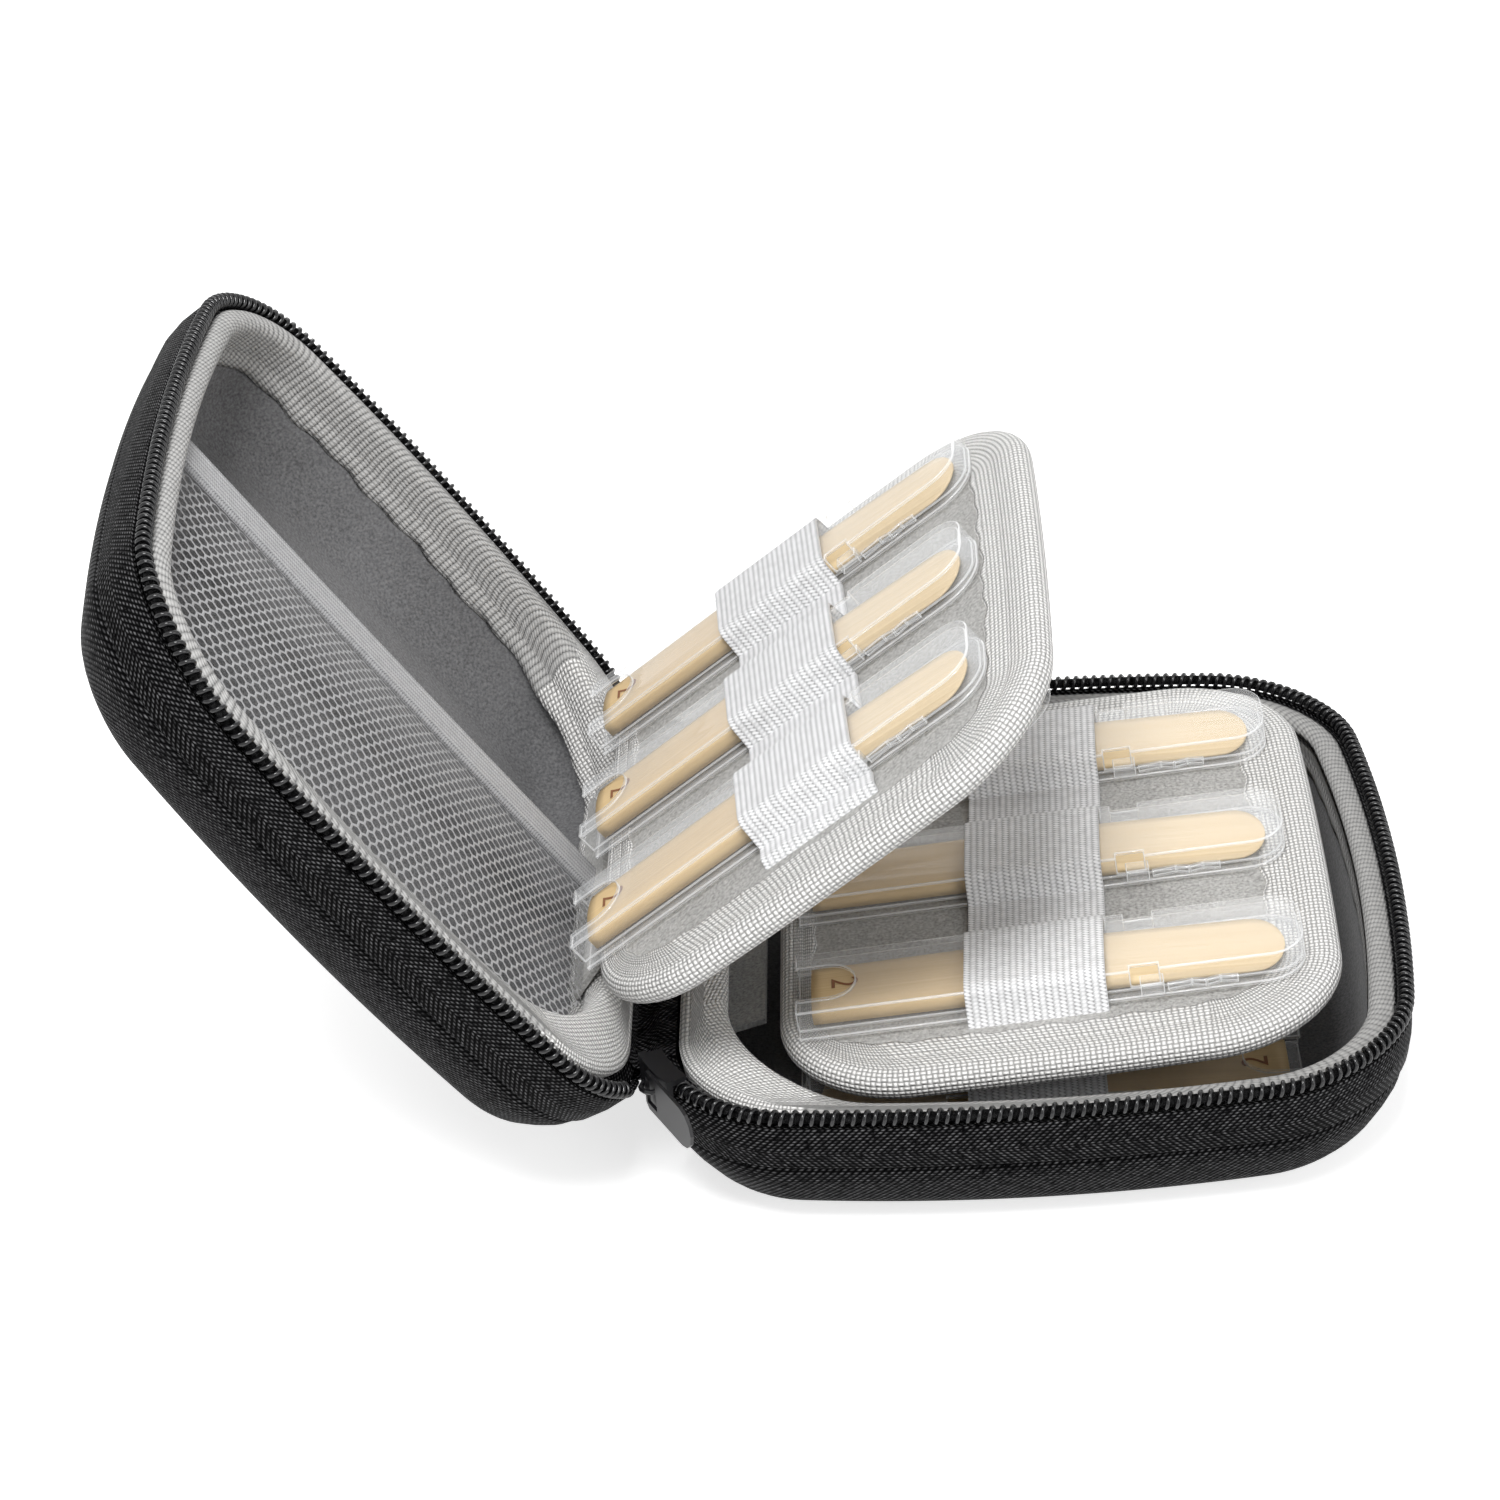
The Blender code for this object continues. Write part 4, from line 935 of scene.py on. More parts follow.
# %% Stretch the net
POCKET_RIM = (5.3 * MM, 11.0 * MM)
POCKET_CELLS = (60, 30)
POCKET_HEM = 3.8 * MM
POCKET_START = 11.5 * MM
POCKET_END = 102.6 * MM
POCKET_EDGE_DEPTH = 3.2 * MM
POCKET_BULGE = 2.4 * MM
BULGE_START = 12.0 * MM
BULGE_LENGTH = 88.0 * MM
BULGE_WIDTH = 46.0 * MM
BULGE_POWER = 0.8


def pocket_height(x, y):
    """How far the net stands from the rim's plane: hollow at its edges and full in the middle."""
    u = min(max((x - BULGE_START) / BULGE_LENGTH, 0), 1)
    v = min(max((y - POCKET_HEM) / BULGE_WIDTH, 0), 1)
    return POCKET_BULGE * math.sin(math.pi * u) * math.sin(math.pi * v**BULGE_POWER) - POCKET_EDGE_DEPTH


def mesh_pocket():
    bm = bmesh.new()
    uv = bm.loops.layers.uv.new("UVMap")
    far = rim_outline(*POCKET_RIM, ROLL_CORNER)
    bmesh.ops.create_grid(bm, x_segments=POCKET_CELLS[0], y_segments=POCKET_CELLS[1], size=0.5)
    for vertex in bm.verts:
        x = POCKET_START + (POCKET_END - POCKET_START) * (vertex.co.x + 0.5)
        top = max(outline_top(far, x), POCKET_HEM + MM)
        y = POCKET_HEM + (top - POCKET_HEM) * (vertex.co.y + 0.5)
        vertex.co = (x, y, pocket_height(x, y))
    for face in bm.faces:
        face.smooth = True
        for loop in face.loops:
            loop[uv].uv = loop.vert.co.xy
    made = finished("pocket_netting", bm, MESH, LID)
    stands_for(made, "lid", "grey_mesh", "mesh_pocket")
    return made


# %% Hem it with elastic
HEM_SECTION = ((3.9, -1.9), (3.9, -2.9), (-1.9, -2.7), (-1.9, -1.7))
HEM_START = 10.5 * MM
HEM_END = 102.9 * MM
HEM_SAG = 0.6 * MM
HEM_STEPS = 50


def hem_band():
    rings = []
    for y, height in HEM_SECTION:
        ring = []
        for step in range(HEM_STEPS + 1):
            share = step / HEM_STEPS
            sag = HEM_SAG * math.sin(math.pi * share)
            ring.append(Vector((HEM_START + (HEM_END - HEM_START) * share, y * MM + sag, height * MM)))
        rings.append(ring)
    made = skin("pocket_hem_band", rings, HEM, LID, closed=False, around=True, smooth=False)
    for corner in made.data.uv_layers["UVMap"].data:
        corner.uv = corner.uv.yx
    stands_for(made, "lid", "grey_elastic", "mesh_pocket_band")
    return made


for cloth in (mesh_pocket(), hem_band()):
    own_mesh(cloth)

# %% [markdown]
# ## The pages
#
# Two pages swing from the spine, one on the lid's flap and one on the lower shell's. Each is a stiff board
# between two layers of foam and velour. The foam could be blown up with cloth simulation, but it is thin and
# glued, so it only crowns by a fraction of a millimetre. Rings that climb from the rim to the middle, above
# the board and below it, give that crown in one closed skin.

# %% Draw a page's outline, and lay the frames of both pages
PAGE_LENGTH = 79.5 * MM
PAGE_WIDTH = 95.9 * MM
PAGE_CORNER = 18.4 * MM
PAGE_BOW = 1.2 * MM


def page_frame(spine, tilt):
    return RIM @ Matrix.Translation(Vector(spine) * MM) @ Matrix.Rotation(-math.radians(tilt), 4, "Y")


PAGE_A = page_frame((-6.3, 0, 9.0), 35.9)
PAGE_B = page_frame((17.9, 0, -3.4), 4.8)


def page_outline(inset, spine_inset):
    corner = max(PAGE_CORNER - inset, MM)
    corners = (corner, corner)
    return rounded_outline(spine_inset, PAGE_LENGTH - inset, PAGE_WIDTH / 2 - inset, corners, PAGE_BOW)


print(f"each page is {PAGE_LENGTH / MM:.1f} by {PAGE_WIDTH / MM:.1f} mm")

# %% Pad the pages
PAD_SECTION = ((1.2, 0.9), (3.0, 1.5), (6.0, 1.75), (9.5, 1.7), (14.0, 1.8), (17.0, 1.9))
SPINE_FREE = 3.0
SPINE_SHARE = 0.3


def pad_ring(inset, height):
    """The pad reaches closer to the spine than to the free sides."""
    spine_inset = min(inset, SPINE_FREE + inset * SPINE_SHARE)
    return at_height(page_outline(inset * MM, spine_inset * MM), height * MM)


def page_pad(letter, body, matrix):
    above = [pad_ring(inset, height) for inset, height in PAD_SECTION]
    below = [pad_ring(inset, -height) for inset, height in reversed(PAD_SECTION)]
    made = skin(f"page_{letter}_pad", below + above, LIGHT_VELOUR, matrix, caps=(0, -1))
    layers = [f"page_{letter}_{layer}" for layer in ("board", "face_front", "face_back")]
    stands_for(made, body, "light_velour", *layers)


# %% [markdown]
# ## The pages' bound edges
#
# A folded tape wraps each page's edge: a round bead outside, then a flat margin down to its stitches. Its
# section is one half above the board, a bead of semicircular form, and the same half mirrored below. At the
# spine the margin is narrow and the bead is pressed flat, so that the pages can lie on each other. The inner
# edge is pulled in and out a little between stitches, as on the real one.

# %% Bind the pages
MARGIN = ((9.6, 1.55), (9.2, 2.0), (8.0, 2.08), (6.2, 2.05), (5.6, 1.9), (5.0, 2.1), (3.6, 2.3), (2.2, 2.25))
BEAD_INSET = 2.0
BEAD_RADIUS = 2.2
BEAD_STEPS = 10
SPINE_MARGIN_SHARE = 0.42
SPINE_HEIGHT = 2.1
SPINE_REACH = 6.0 * MM
STITCHED_INSET = 9.0
STITCH_PACES = (1.3, 0.6)


def ribbon_section():
    bead = []
    for step in range(1, BEAD_STEPS):
        turn = math.radians(90 - 180 * step / BEAD_STEPS)
        bead.append((BEAD_INSET - BEAD_RADIUS * math.cos(turn), BEAD_RADIUS * math.sin(turn)))
    return [*MARGIN, *bead, *((inset, -height) for inset, height in reversed(MARGIN))]


def page_ribbon(letter, body, matrix):
    rings = []
    for inset, height in ribbon_section():
        share = SPINE_MARGIN_SHARE if inset > BEAD_RADIUS else 1.0
        spine_inset = BEAD_RADIUS + (inset - BEAD_RADIUS) * share
        ring = at_height(page_outline(inset * MM, spine_inset * MM), height * MM)
        pressed = math.copysign(min(abs(height), SPINE_HEIGHT), height)
        for index, point in enumerate(ring):
            if point.x < SPINE_REACH:
                point.z = pressed * MM
            if inset > STITCHED_INSET:
                towards_middle = Vector((PAGE_LENGTH / 2 - point.x, -point.y, 0)).normalized()
                point += towards_middle * ripple(index, STITCH_PACES)
        rings.append(ring)
    made = skin(f"page_{letter}_ribbon", rings, BINDING, matrix, around=True)
    stands_for(made, body, "silver_binding", f"page_{letter}_binding")


for letter, body, matrix in (("a", "page_a", PAGE_A), ("b", "page_b", PAGE_B)):
    page_pad(letter, body, matrix)
    page_ribbon(letter, body, matrix)

# %% [markdown]
# ## One clear holder
#
# A holder is a flat tray, and a cover that is clipped over the reed. The cover is a box with a tongue-shaped
# end, hollow inside, with a thumb notch at its heel and a window in each side. Modelling it face by face
# would take long. Booleans do it as a mould does: a solid tongue, minus a smaller tongue, minus two blocks.
# A bevel then rounds every edge, and its own faces take the whiter plastic as a painted highlight, since
# moulded edges catch light.

# %% Tongues, prisms and blocks
TONGUE_STEPS = 8


def tongue(start, end, half, corner):
    """A strip with square shoulders at its start and round ones at its end."""
    points = [Vector((start, -half))]
    for centre_y, first in ((corner - half, 270), (half - corner, 0)):
        for step in range(TONGUE_STEPS + 1):
            turn = math.radians(first + 90 * step / TONGUE_STEPS)
            x = end - corner + corner * math.cos(turn)
            points.append(Vector((x, centre_y + corner * math.sin(turn))))
    return points + [Vector((start, half))]


def prism(name, outline, low, high):
    return skin(name, [at_height(outline, low), at_height(outline, high)], CLEAR, caps=(0, 1), smooth=False)


def block(name, low, high):
    """A box between two corners, in millimetres."""
    (x0, y0, z0), (x1, y1, z1) = low, high
    corners = [Vector(corner) * MM for corner in ((x0, y0), (x1, y0), (x1, y1), (x0, y1))]
    return prism(name, corners, z0 * MM, z1 * MM)


# %% Carve a piece and round its edges
EDGE_STEPS = 3
SHARP_ANGLE = 35


def as_mesh(piece):
    """The mesh of an object with its modifiers in it. The object itself goes."""
    bpy.context.view_layer.update()
    mesh = bpy.data.meshes.new_from_object(piece.evaluated_get(bpy.context.evaluated_depsgraph_get()))
    bpy.data.objects.remove(piece, do_unlink=True)
    return mesh


def carved(piece, cuts, bevel):
    """The mesh of a piece after its cuts and a bevel, for the copies to share."""
    piece.data.materials.append(CLEAR_HIGHLIGHT)
    for cut in cuts:
        step = piece.modifiers.new("Cut", "BOOLEAN")
        step.operation = "DIFFERENCE"
        step.object = cut
    edge = piece.modifiers.new("Edge", "BEVEL")
    edge.width = bevel
    edge.segments = EDGE_STEPS
    edge.limit_method = "ANGLE"
    # The bevel's faces take the whiter plastic: a painted highlight.
    edge.material = 1
    mesh = as_mesh(piece)
    for cut in cuts:
        bpy.data.objects.remove(cut, do_unlink=True)
    mesh.shade_smooth()
    mesh.set_sharp_from_angle(angle=math.radians(SHARP_ANGLE))
    return mesh


# %% Mould the cover and the tray
HOLDER_LENGTH = 72.4 * MM
HOLDER_WIDTH = 16.8 * MM
HOLDER_HEIGHT = 4.4 * MM
HOLDER_SKIN = 0.6 * MM
HOLDER_EDGE = 0.2 * MM
TRAY_CORNER = 6.0 * MM
COVER_WIDTH = 14.8 * MM
COVER_CORNER = 5.0 * MM
COVER_FOOT = 0.9 * MM
NOTCH_HALF = 4.0 * MM
NOTCH_DEPTH = 8.6 * MM
NOTCH_STEPS = 10
ROOM_HALF = 6.8 * MM
ROOM_CORNER = 4.4 * MM
ROOM_START = -1.0 * MM
ROOM_FOOT = 0.5 * MM
WINDOWS = (((47.5, -8.0, 1.6), (51.5, -6.0, 5.0)), ((47.5, 6.0, 1.6), (51.5, 8.0, 5.0)))


def thumb_notch():
    """The notch's line, from the cover's far heel corner to its near one."""
    points = [Vector((0, NOTCH_HALF))]
    for step in range(NOTCH_STEPS + 1):
        turn = math.radians(90 - 180 * step / NOTCH_STEPS)
        deep = NOTCH_DEPTH - NOTCH_HALF + NOTCH_HALF * math.cos(turn)
        points.append(Vector((deep, NOTCH_HALF * math.sin(turn))))
    return points + [Vector((0, -NOTCH_HALF))]


def cover_mesh():
    outline = tongue(0, HOLDER_LENGTH, COVER_WIDTH / 2, COVER_CORNER) + thumb_notch()
    hollow = tongue(ROOM_START, HOLDER_LENGTH - HOLDER_SKIN, ROOM_HALF, ROOM_CORNER)
    room = prism("room", hollow, ROOM_FOOT, HOLDER_HEIGHT - HOLDER_SKIN)
    windows = [block("window", low, high) for low, high in WINDOWS]
    cover = prism("cover", outline, COVER_FOOT, HOLDER_HEIGHT)
    return carved(cover, [room, *windows], HOLDER_EDGE)


def tray_mesh():
    tray = prism("tray", tongue(0, HOLDER_LENGTH, HOLDER_WIDTH / 2, TRAY_CORNER), 0, HOLDER_SKIN)
    return carved(tray, [], HOLDER_EDGE)


COVER = cover_mesh()
TRAY = tray_mesh()

# %% [markdown]
# ## The holder's latch
#
# Beside the cover a springy arm wanders along the tray and ends in a square tab. It is small, but the light
# in its bends shows in the photo. A swept curve would round its corners too much. Five cubes, each stretched
# and turned to follow the arm's line, keep them crisp, and the bevel only breaks the edges.

# %% Bend the latch
LATCH_LINE = ((52.5, -8.35), (56.0, -7.9), (58.0, -8.5), (60.0, -7.9), (62.5, -8.3))
LATCH_LEVEL = 1.6
LATCH_THICKNESS = 0.6 * MM
LATCH_HEIGHT = 1.2 * MM
LATCH_EDGE = 0.15 * MM
TAB_SIZE = Vector((3.4, 2.4, 1.9)) * MM
TAB_SPOT = Vector((50.4, -8.2, 2.2)) * MM


def add_box(bm, size, spot, turn=0.0):
    place = Matrix.LocRotScale(spot, Euler((0, 0, turn)), Vector(size))
    bmesh.ops.create_cube(bm, size=1.0, matrix=place)


def clip_mesh():
    bm = bmesh.new()
    add_box(bm, TAB_SIZE, TAB_SPOT)
    for before, after in zip(LATCH_LINE, LATCH_LINE[1:]):
        a, b = Vector((*before, LATCH_LEVEL)) * MM, Vector((*after, LATCH_LEVEL)) * MM
        size = ((b - a).length, LATCH_THICKNESS, LATCH_HEIGHT)
        add_box(bm, size, (a + b) / 2, math.atan2(b.y - a.y, b.x - a.x))
    return carved(finished("clip", bm, CLEAR), [], LATCH_EDGE)


CLIP = clip_mesh()

# %% [markdown]
# ## The reed
#
# A reed is flat below and round above. It widens slightly towards the tip, thins from the end of its bark
# down to a third of a millimetre, and ends in an arc. A scaled cylinder would thin at the wrong rate. A skin
# over cross-sections follows it exactly, with the sections closer together where the tip curves.

# %% Shave the reed
REED_LENGTH = 67.5 * MM
REED_TIP_ARC = 4.6 * MM
REED_HEEL_HALF = 5.7 * MM
REED_TIP_HALF = 6.5 * MM
REED_THICKNESS = 2.5 * MM
REED_TIP_THICKNESS = 0.3 * MM
REED_CROWN = 0.28
LEAST_TIP = 0.02
REED_STATIONS = 40
REED_STRIPS = 8


def reed_ring(x):
    """The reed's section at a distance from its heel."""
    half = REED_HEEL_HALF + (REED_TIP_HALF - REED_HEEL_HALF) * x / REED_LENGTH
    over = x - (REED_LENGTH - REED_TIP_ARC)
    if over > 0:
        half *= math.sqrt(max(1 - (over / REED_TIP_ARC) ** 2, LEAST_TIP))
    fall = max(x - REED_BARK_LENGTH, 0) / (REED_LENGTH - REED_BARK_LENGTH)
    thick = REED_THICKNESS - (REED_THICKNESS - REED_TIP_THICKNESS) * fall
    ring = [Vector((x, -half, 0))]
    for strip in range(REED_STRIPS + 1):
        y = half * (2 * strip / REED_STRIPS - 1)
        ring.append(Vector((x, y, thick * (1 - REED_CROWN * (y / half) ** 2))))
    return ring + [Vector((x, half, 0))]


def reed_mesh():
    stations = [REED_LENGTH * step / REED_STATIONS for step in range(REED_STATIONS - 2)]
    for step in range(1, REED_STRIPS + 1):
        turn = math.radians(90 * step / REED_STRIPS)
        stations.append(REED_LENGTH - REED_TIP_ARC * (1 - math.sin(turn)))
    made = skin("reed", [reed_ring(x) for x in sorted(stations)], CANE, caps=(0, -1))
    mesh = made.data
    for corner, loop in zip(mesh.uv_layers["UVMap"].data, mesh.loops):
        corner.uv = mesh.vertices[loop.vertex_index].co.xy
    bpy.data.objects.remove(made, do_unlink=True)
    return mesh


REED = reed_mesh()

# %% [markdown]
# ## A plain figure on the heel
#
# Reeds are sold by strength, and a plain figure on the bark gives it. It could be painted by the material,
# but strokes made of maths nodes are hard to read. A text object has a font's real outline. It becomes a
# mesh before it is placed, because a finished piece keeps its place in its mesh.

# %% Print the figure
FIGURE_SIZE = 5.5 * MM
FIGURE_SPOT = Vector((4.6, 0.4, 2.56)) * MM


def figure_mesh():
    text = bpy.data.curves.new("figure", "FONT")
    text.body = "2"
    text.size = FIGURE_SIZE
    text.align_x = "CENTER"
    text.align_y = "CENTER"
    text.materials.append(INK)
    drawn = bpy.data.objects.new("figure", text)
    bpy.context.scene.collection.objects.link(drawn)
    mesh = as_mesh(drawn)
    mesh.transform(Matrix.Translation(FIGURE_SPOT) @ Matrix.Rotation(math.radians(-90), 4, "Z"))
    return mesh


FIGURE = figure_mesh()
print(f"cover {len(COVER.polygons)}, latch {len(CLIP.polygons)} and figure {len(FIGURE.polygons)} faces")

# %% [markdown]
# ## Fifteen holders in place
#
# The case holds five rows of three: on both faces of each page, and on the lower shell's floor. Every holder
# takes copies of the same four meshes and moves them into place. On the pages' fronts each holder slides
# with its own body, and its tray, cover and reed hide three plain solids. Further back one solid stands for
# the whole holder, and the tray hides it. The reeds on the pages' backs face away, so they bear no figure.

# %% Copy a holder
REED_SPOT = Vector((2.2, 0, 0.9)) * MM


def copy_of(name, mesh, matrix, slot, body, *nodes):
    """A copy of a mesh with its place in the mesh itself, riding on a body."""
    own = mesh.copy()
    own.transform(matrix)
    made = bpy.data.objects.new(name, own)
    bpy.context.scene.collection.objects.link(made)
    stands_for(made, body, slot, *nodes)


def holder(name, matrix, body, nodes, mark=True):
    """nodes are the solids of its tray, cover and reed, or the one solid of all three."""
    reed_at = matrix @ Matrix.Translation(REED_SPOT)
    tray_node, *others = nodes
    cover_nodes, reed_nodes = others[:1], others[1:]
    copy_of(f"{name}_base", TRAY, matrix, "clear_plastic", body, tray_node)
    copy_of(f"{name}_lid", COVER, matrix, "clear_plastic", body, *cover_nodes)
    copy_of(f"{name}_cane", REED, reed_at, "cane", body, *reed_nodes)
    copy_of(f"{name}_clip", CLIP, matrix, "clear_plastic", body)
    if mark:
        copy_of(f"{name}_mark", FIGURE, reed_at, None, body)


# %% Fill the pages and the floor
PITCH = 29.5 * MM
ROWS = [-PITCH, 0.0, PITCH]
ROW_SHIFTS = {"a": 5.0 * MM, "b": 0.5 * MM, "floor": 0.5 * MM}
HOLDER_STARTS = {"a": -0.8 * MM, "b": 3.0 * MM, "back": 3.0 * MM, "floor": 92.5 * MM}
HOLDER_LEVEL = 2.4 * MM
FLOOR_LEVEL = -17.5 * MM

for letter, matrix in (("a", PAGE_A), ("b", PAGE_B)):
    for number, row in enumerate(ROWS, 1):
        y = row + ROW_SHIFTS[letter]
        front = f"page_{letter}_holder_{number}"
        spot = matrix @ Matrix.Translation((HOLDER_STARTS[letter], y, HOLDER_LEVEL))
        holder(front, spot, f"{letter}_holder_{number}", (f"{front}_tray", f"{front}_cover", f"{front}_reed"))
        back = f"page_{letter}_back_holder_{number}"
        spot = matrix @ Matrix.Translation((HOLDER_STARTS["back"], y, -HOLDER_LEVEL)) @ TURNED_OVER
        holder(back, spot, "page_b" if letter == "b" else f"a_back_holder_{number}", (back,), mark=False)
for number, row in enumerate(ROWS, 1):
    spot = RIM @ Matrix.Translation((HOLDER_STARTS["floor"], row + ROW_SHIFTS["floor"], FLOOR_LEVEL))
    name = f"floor_holder_{number}"
    holder(name, spot @ Matrix.Rotation(math.radians(180), 4, "Z"), "lower_case", (name,))
print(f"{5 * len(ROWS)} holders, {PITCH / MM} mm apart")

# %% [markdown]
# ## The straps
#
# One elastic strap holds each row. It is sewn down between the holders, jumps over each of them with a
# shoulder on both sides, and dives under the page's binding at its ends. Draping it by simulation would take
# minutes and end in nearly the same line. So the line is drawn, and swept across the strap's width. In the
# photo the straps run a little askew, which a small shift along x gives.

# %% Draw a strap's line
STRAP_PLAY = 0.25 * MM
SHOULDER = ((8.9, 0), (8.4, 1.6), (7.9, 3.6), (7.3, 4.3), (6.3, 4.6))
STRAP_DIVE = -1.3 * MM
STRAP_LANDING = 2.0 * MM
STRAP_TUCK = 1.8 * MM
SHORT_TUCK = 2.4 * MM
SHORT_DIP = 0.5 * MM
SHORT_STEP = 1.2 * MM


def strap_line(rows, end):
    """Points (y, z) of the strap's underside. Each end dives under the page's binding at end, or lies
    beside the last holder where that reaches further."""
    roof = HOLDER_HEIGHT + STRAP_PLAY
    foot = SHOULDER[0][0] * MM
    near, far = rows[0] - foot, rows[-1] + foot
    if near > STRAP_LANDING - end:
        points = [(-end - STRAP_TUCK, STRAP_DIVE), (-end, STRAP_DIVE), (STRAP_LANDING - end, 0)]
    else:
        points = [(near - SHORT_TUCK, STRAP_DIVE), (near - SHORT_DIP, STRAP_DIVE)]
    for row in rows:
        for sign, side in ((-1, SHOULDER), (1, SHOULDER[::-1])):
            points += [(row + sign * y * MM, min(z * MM, roof)) for y, z in side]
    if far < end - STRAP_LANDING:
        return points + [(end - STRAP_LANDING, 0), (end, STRAP_DIVE), (end + STRAP_TUCK, STRAP_DIVE)]
    return points + [(far + SHORT_STEP, 0)]


# %% Sweep a strap
STRAP_START = 28.5 * MM
STRAP_WIDTH = 20.0 * MM
STRAP_THICKNESS = 0.5 * MM
STRAP_COLUMNS = 16


def strap(node, matrix, body, rows, end, start=STRAP_START, skew=0.0):
    under = strap_line(rows, end)
    over = [(y, z + STRAP_THICKNESS) for y, z in under]
    shares = [step / STRAP_COLUMNS for step in range(STRAP_COLUMNS + 1)]
    rings = []
    for line, across in ((under, shares), (over, shares[::-1])):
        for share in across:
            x = start + STRAP_WIDTH * share
            rings.append([Vector((x - skew * y / end, y, z)) for y, z in line])
    made = skin(f"{node}_elastic", rings, ELASTIC, matrix, closed=False, around=True, smooth=False)
    back = matrix.inverted()
    for corner, loop in zip(made.data.uv_layers["UVMap"].data, made.data.loops):
        point = back @ made.data.vertices[loop.vertex_index].co
        corner.uv = (point.x + skew * point.y / end, corner.uv[0])
    stands_for(made, body, "grey_elastic", node)


# %% Strap down every row
STRAP_REST = HOLDER_LEVEL - 0.1 * MM
PAGE_STRAP_END = 38.4 * MM
FLOOR_STRAP_END = 38.0 * MM
FLOOR_STRAP_START = 44.0 * MM
SKEWS = {"a": 3.0 * MM, "b": -1.5 * MM}

for letter, matrix in (("a", PAGE_A), ("b", PAGE_B)):
    rows = [row + ROW_SHIFTS[letter] for row in ROWS]
    front = matrix @ Matrix.Translation((0, 0, STRAP_REST))
    back = matrix @ Matrix.Translation((0, 0, -STRAP_REST)) @ TURNED_OVER
    mirrored = [-row for row in reversed(rows)]
    page = f"page_{letter}"
    strap(f"{page}_strap_front", front, page, rows, PAGE_STRAP_END, skew=SKEWS[letter])
    strap(f"{page}_strap_back", back, page, mirrored, PAGE_STRAP_END)
floor_rows = [row + ROW_SHIFTS["floor"] for row in ROWS]
floor_frame = RIM @ Matrix.Translation((0, 0, FLOOR_LEVEL))
strap("floor_strap", floor_frame, "lower_case", floor_rows, FLOOR_STRAP_END, start=FLOOR_STRAP_START)

# %% [markdown]
# ## The zip's slider and pull
#
# The slider waits at the near hinge corner with its pull hanging beside it. Both are rigid metal, and the
# plain solids have their true shape, so they stay in view and only get their paint.

# %% Dress the slider and the pull
dressed("zip_slider", BLACK_METAL)
dressed("zip_pull", BLACK_METAL)

# %% [markdown]
# ## The camera
#
# The photo was taken from in front and above, with the camera rolled a little. Its place was worked out from
# the case's corners. Blender's camera looks down its own -z, so its matrix is built from three directions:
# right, up and backwards. Rolling turns the first two about the third.

# %% Place the camera as in the photo
EYE = (-0.00755, -0.52955, 0.36266)
PAN, TILT, ROLL = -0.0549, 0.5366, -0.0894
FOCAL_LENGTH = 101.45
SENSOR_WIDTH = 36
NEAREST, FURTHEST = 0.05, 20

scene = bpy.context.scene
ahead = Vector((math.sin(PAN) * math.cos(TILT), math.cos(PAN) * math.cos(TILT), -math.sin(TILT)))
level = Vector((math.cos(PAN), -math.sin(PAN), 0))
upright = level.cross(ahead)
right = level * math.cos(ROLL) + upright * math.sin(ROLL)
up = upright * math.cos(ROLL) - level * math.sin(ROLL)
camera = bpy.data.objects.new("camera", bpy.data.cameras.new("camera"))
scene.collection.objects.link(camera)
camera.data.lens = FOCAL_LENGTH
camera.data.sensor_width = SENSOR_WIDTH
camera.data.clip_start = NEAREST
camera.data.clip_end = FURTHEST
camera.matrix_world = Matrix.Translation(EYE) @ Matrix((right, up, -ahead)).transposed().to_4x4()
scene.camera = camera
print(f"the camera stands {Vector(EYE).length:.2f} m from the case")

# %% [markdown]
# ## Soft studio light
#
# Product photos use big soft lamps, so that shadows have no hard edge. One lamp could do it, but black cloth
# then sinks into one flat shape. A key lamp above and in front models the pages, a fill opens the shadows,
# and a lamp behind draws the rims' edges. All stay low enough that white elastic keeps its ribs.

# %% Hang the lamps
AIM = Vector((0, 0, 0.03))
LAMPS = {
    "key": ((-0.12, -0.42, 0.85), 0.35, 7.5),
    "fill": ((0.55, -0.6, 0.45), 0.5, 2.2),
    "rim": ((-0.1, 0.7, 0.5), 0.5, 1.5),
}
for name, (spot, size, power) in LAMPS.items():
    lamp = bpy.data.objects.new(name, bpy.data.lights.new(name, "AREA"))
    scene.collection.objects.link(lamp)
    lamp.data.size = size
    lamp.data.energy = power
    lamp.location = spot
    lamp.rotation_euler = (AIM - Vector(spot)).to_track_quat("-Z", "Y").to_euler()
print(f"{len(LAMPS)} lamps of {sum(power for spot, size, power in LAMPS.values()):.1f} W in all")

# %% [markdown]
# ## A white room
#
# The photo's ground is pure white. Turning up the light would wash out the case. So the world and the floor
# are white only for the rays that look at them: those of the camera, of gloss and of clear plastic. All
# other rays meet a dim world and a plain pale floor, which still takes the case's shadow.

# %% Light the world
WHITE = (1, 1, 1, 1)
WORLD_LIGHT = 0.34


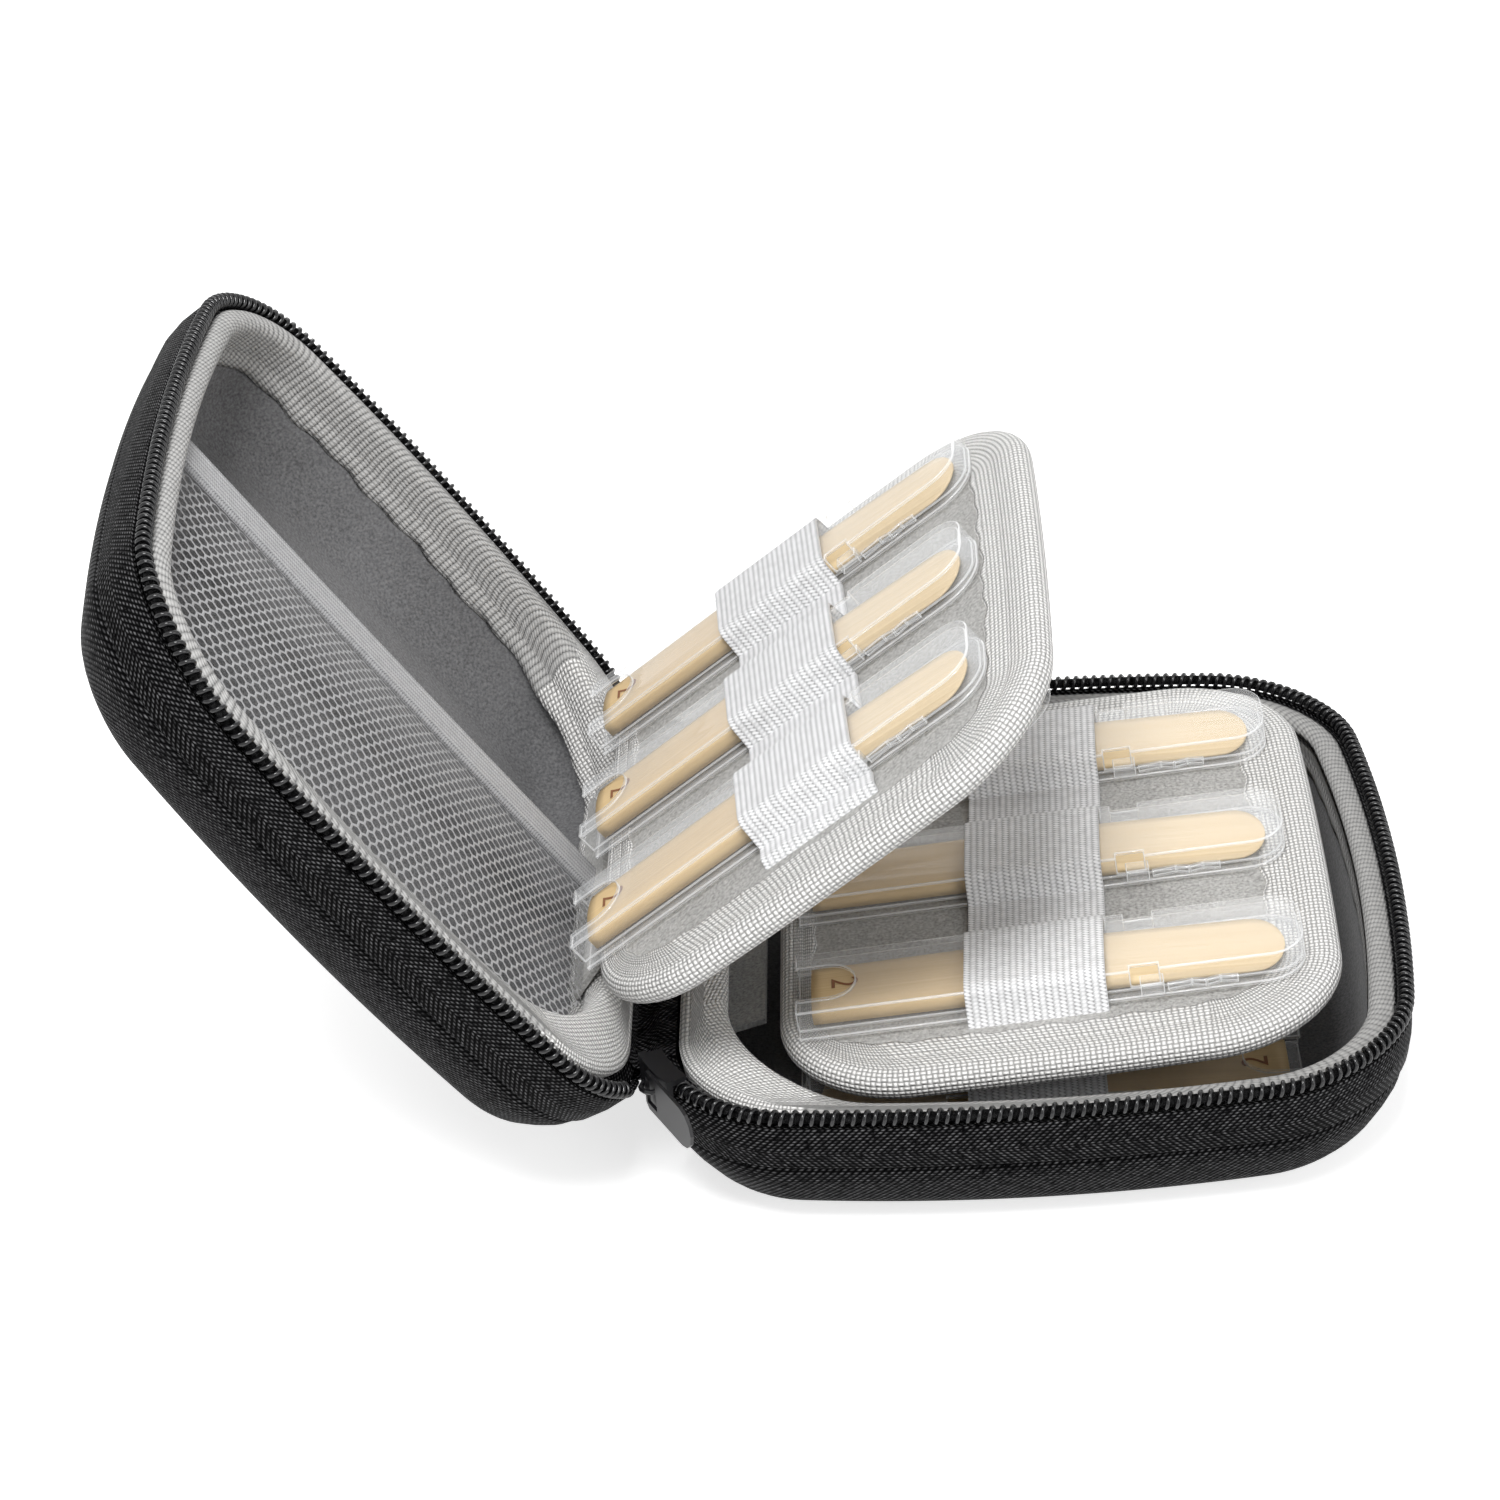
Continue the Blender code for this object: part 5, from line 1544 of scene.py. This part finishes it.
def watched(tree):
    """1 for the rays that look at something white, and 0 for those that only light the scene."""
    rays = tree.nodes.new("ShaderNodeLightPath").outputs
    seen = maths(tree, "ADD", rays["Is Camera Ray"], rays["Is Glossy Ray"])
    return maths(tree, "MINIMUM", maths(tree, "ADD", seen, rays["Is Transmission Ray"]), 1.0)


world = bpy.data.worlds.new("studio")
scene.world = world
world.use_nodes = True
world.node_tree.nodes.clear()
lit = add(world.node_tree, "ShaderNodeBackground", WHITE, WORLD_LIGHT)
bright = add(world.node_tree, "ShaderNodeBackground", WHITE, 1.0)
both = add(world.node_tree, "ShaderNodeMixShader", watched(world.node_tree), lit, bright)
output = world.node_tree.nodes.new("ShaderNodeOutputWorld")
world.node_tree.links.new(both, output.inputs["Surface"])

# %% Lay the floor
FLOOR_COLOUR = (0.8, 0.8, 0.8, 1.0)
FLOOR_GLOW = 0.7
FLOOR_SIDE = 30.0
FLOOR_DROP = 0.05 * MM


def floor_look():
    made, tree, shader = surface("floor", 0.9, gloss=0.1)
    shader.inputs["Base Color"].default_value = FLOOR_COLOUR
    glow = add(tree, "ShaderNodeEmission", WHITE, maths(tree, "MULTIPLY", watched(tree), FLOOR_GLOW))
    both = add(tree, "ShaderNodeAddShader", shader.outputs[0], glow)
    tree.links.new(both, tree.nodes["Material Output"].inputs["Surface"])
    return made


bm = bmesh.new()
bmesh.ops.create_grid(bm, x_segments=1, y_segments=1, size=FLOOR_SIDE / 2)
finished("floor", bm, floor_look(), Matrix.Translation((0, 0, -FLOOR_DROP)))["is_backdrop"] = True

# %% [markdown]
# ## Last settings
#
# A look through two holders passes a dozen clear walls, and each of them uses up a bounce. With the usual
# limits the last ones turn black, so both limits go up. Colours are shown as they are written. At the end
# the size of the dressed case is printed.

# %% Let light through the plastic, and measure the case
TRANSMISSION_BOUNCES = 16
CLEAR_WALLS = 24

scene.cycles.transmission_bounces = TRANSMISSION_BOUNCES
scene.cycles.transparent_max_bounces = CLEAR_WALLS
scene.view_settings.view_transform = "Standard"
low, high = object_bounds()
print("the dressed case measures", [round((b - a) / MM, 1) for a, b in zip(low, high)], "mm")
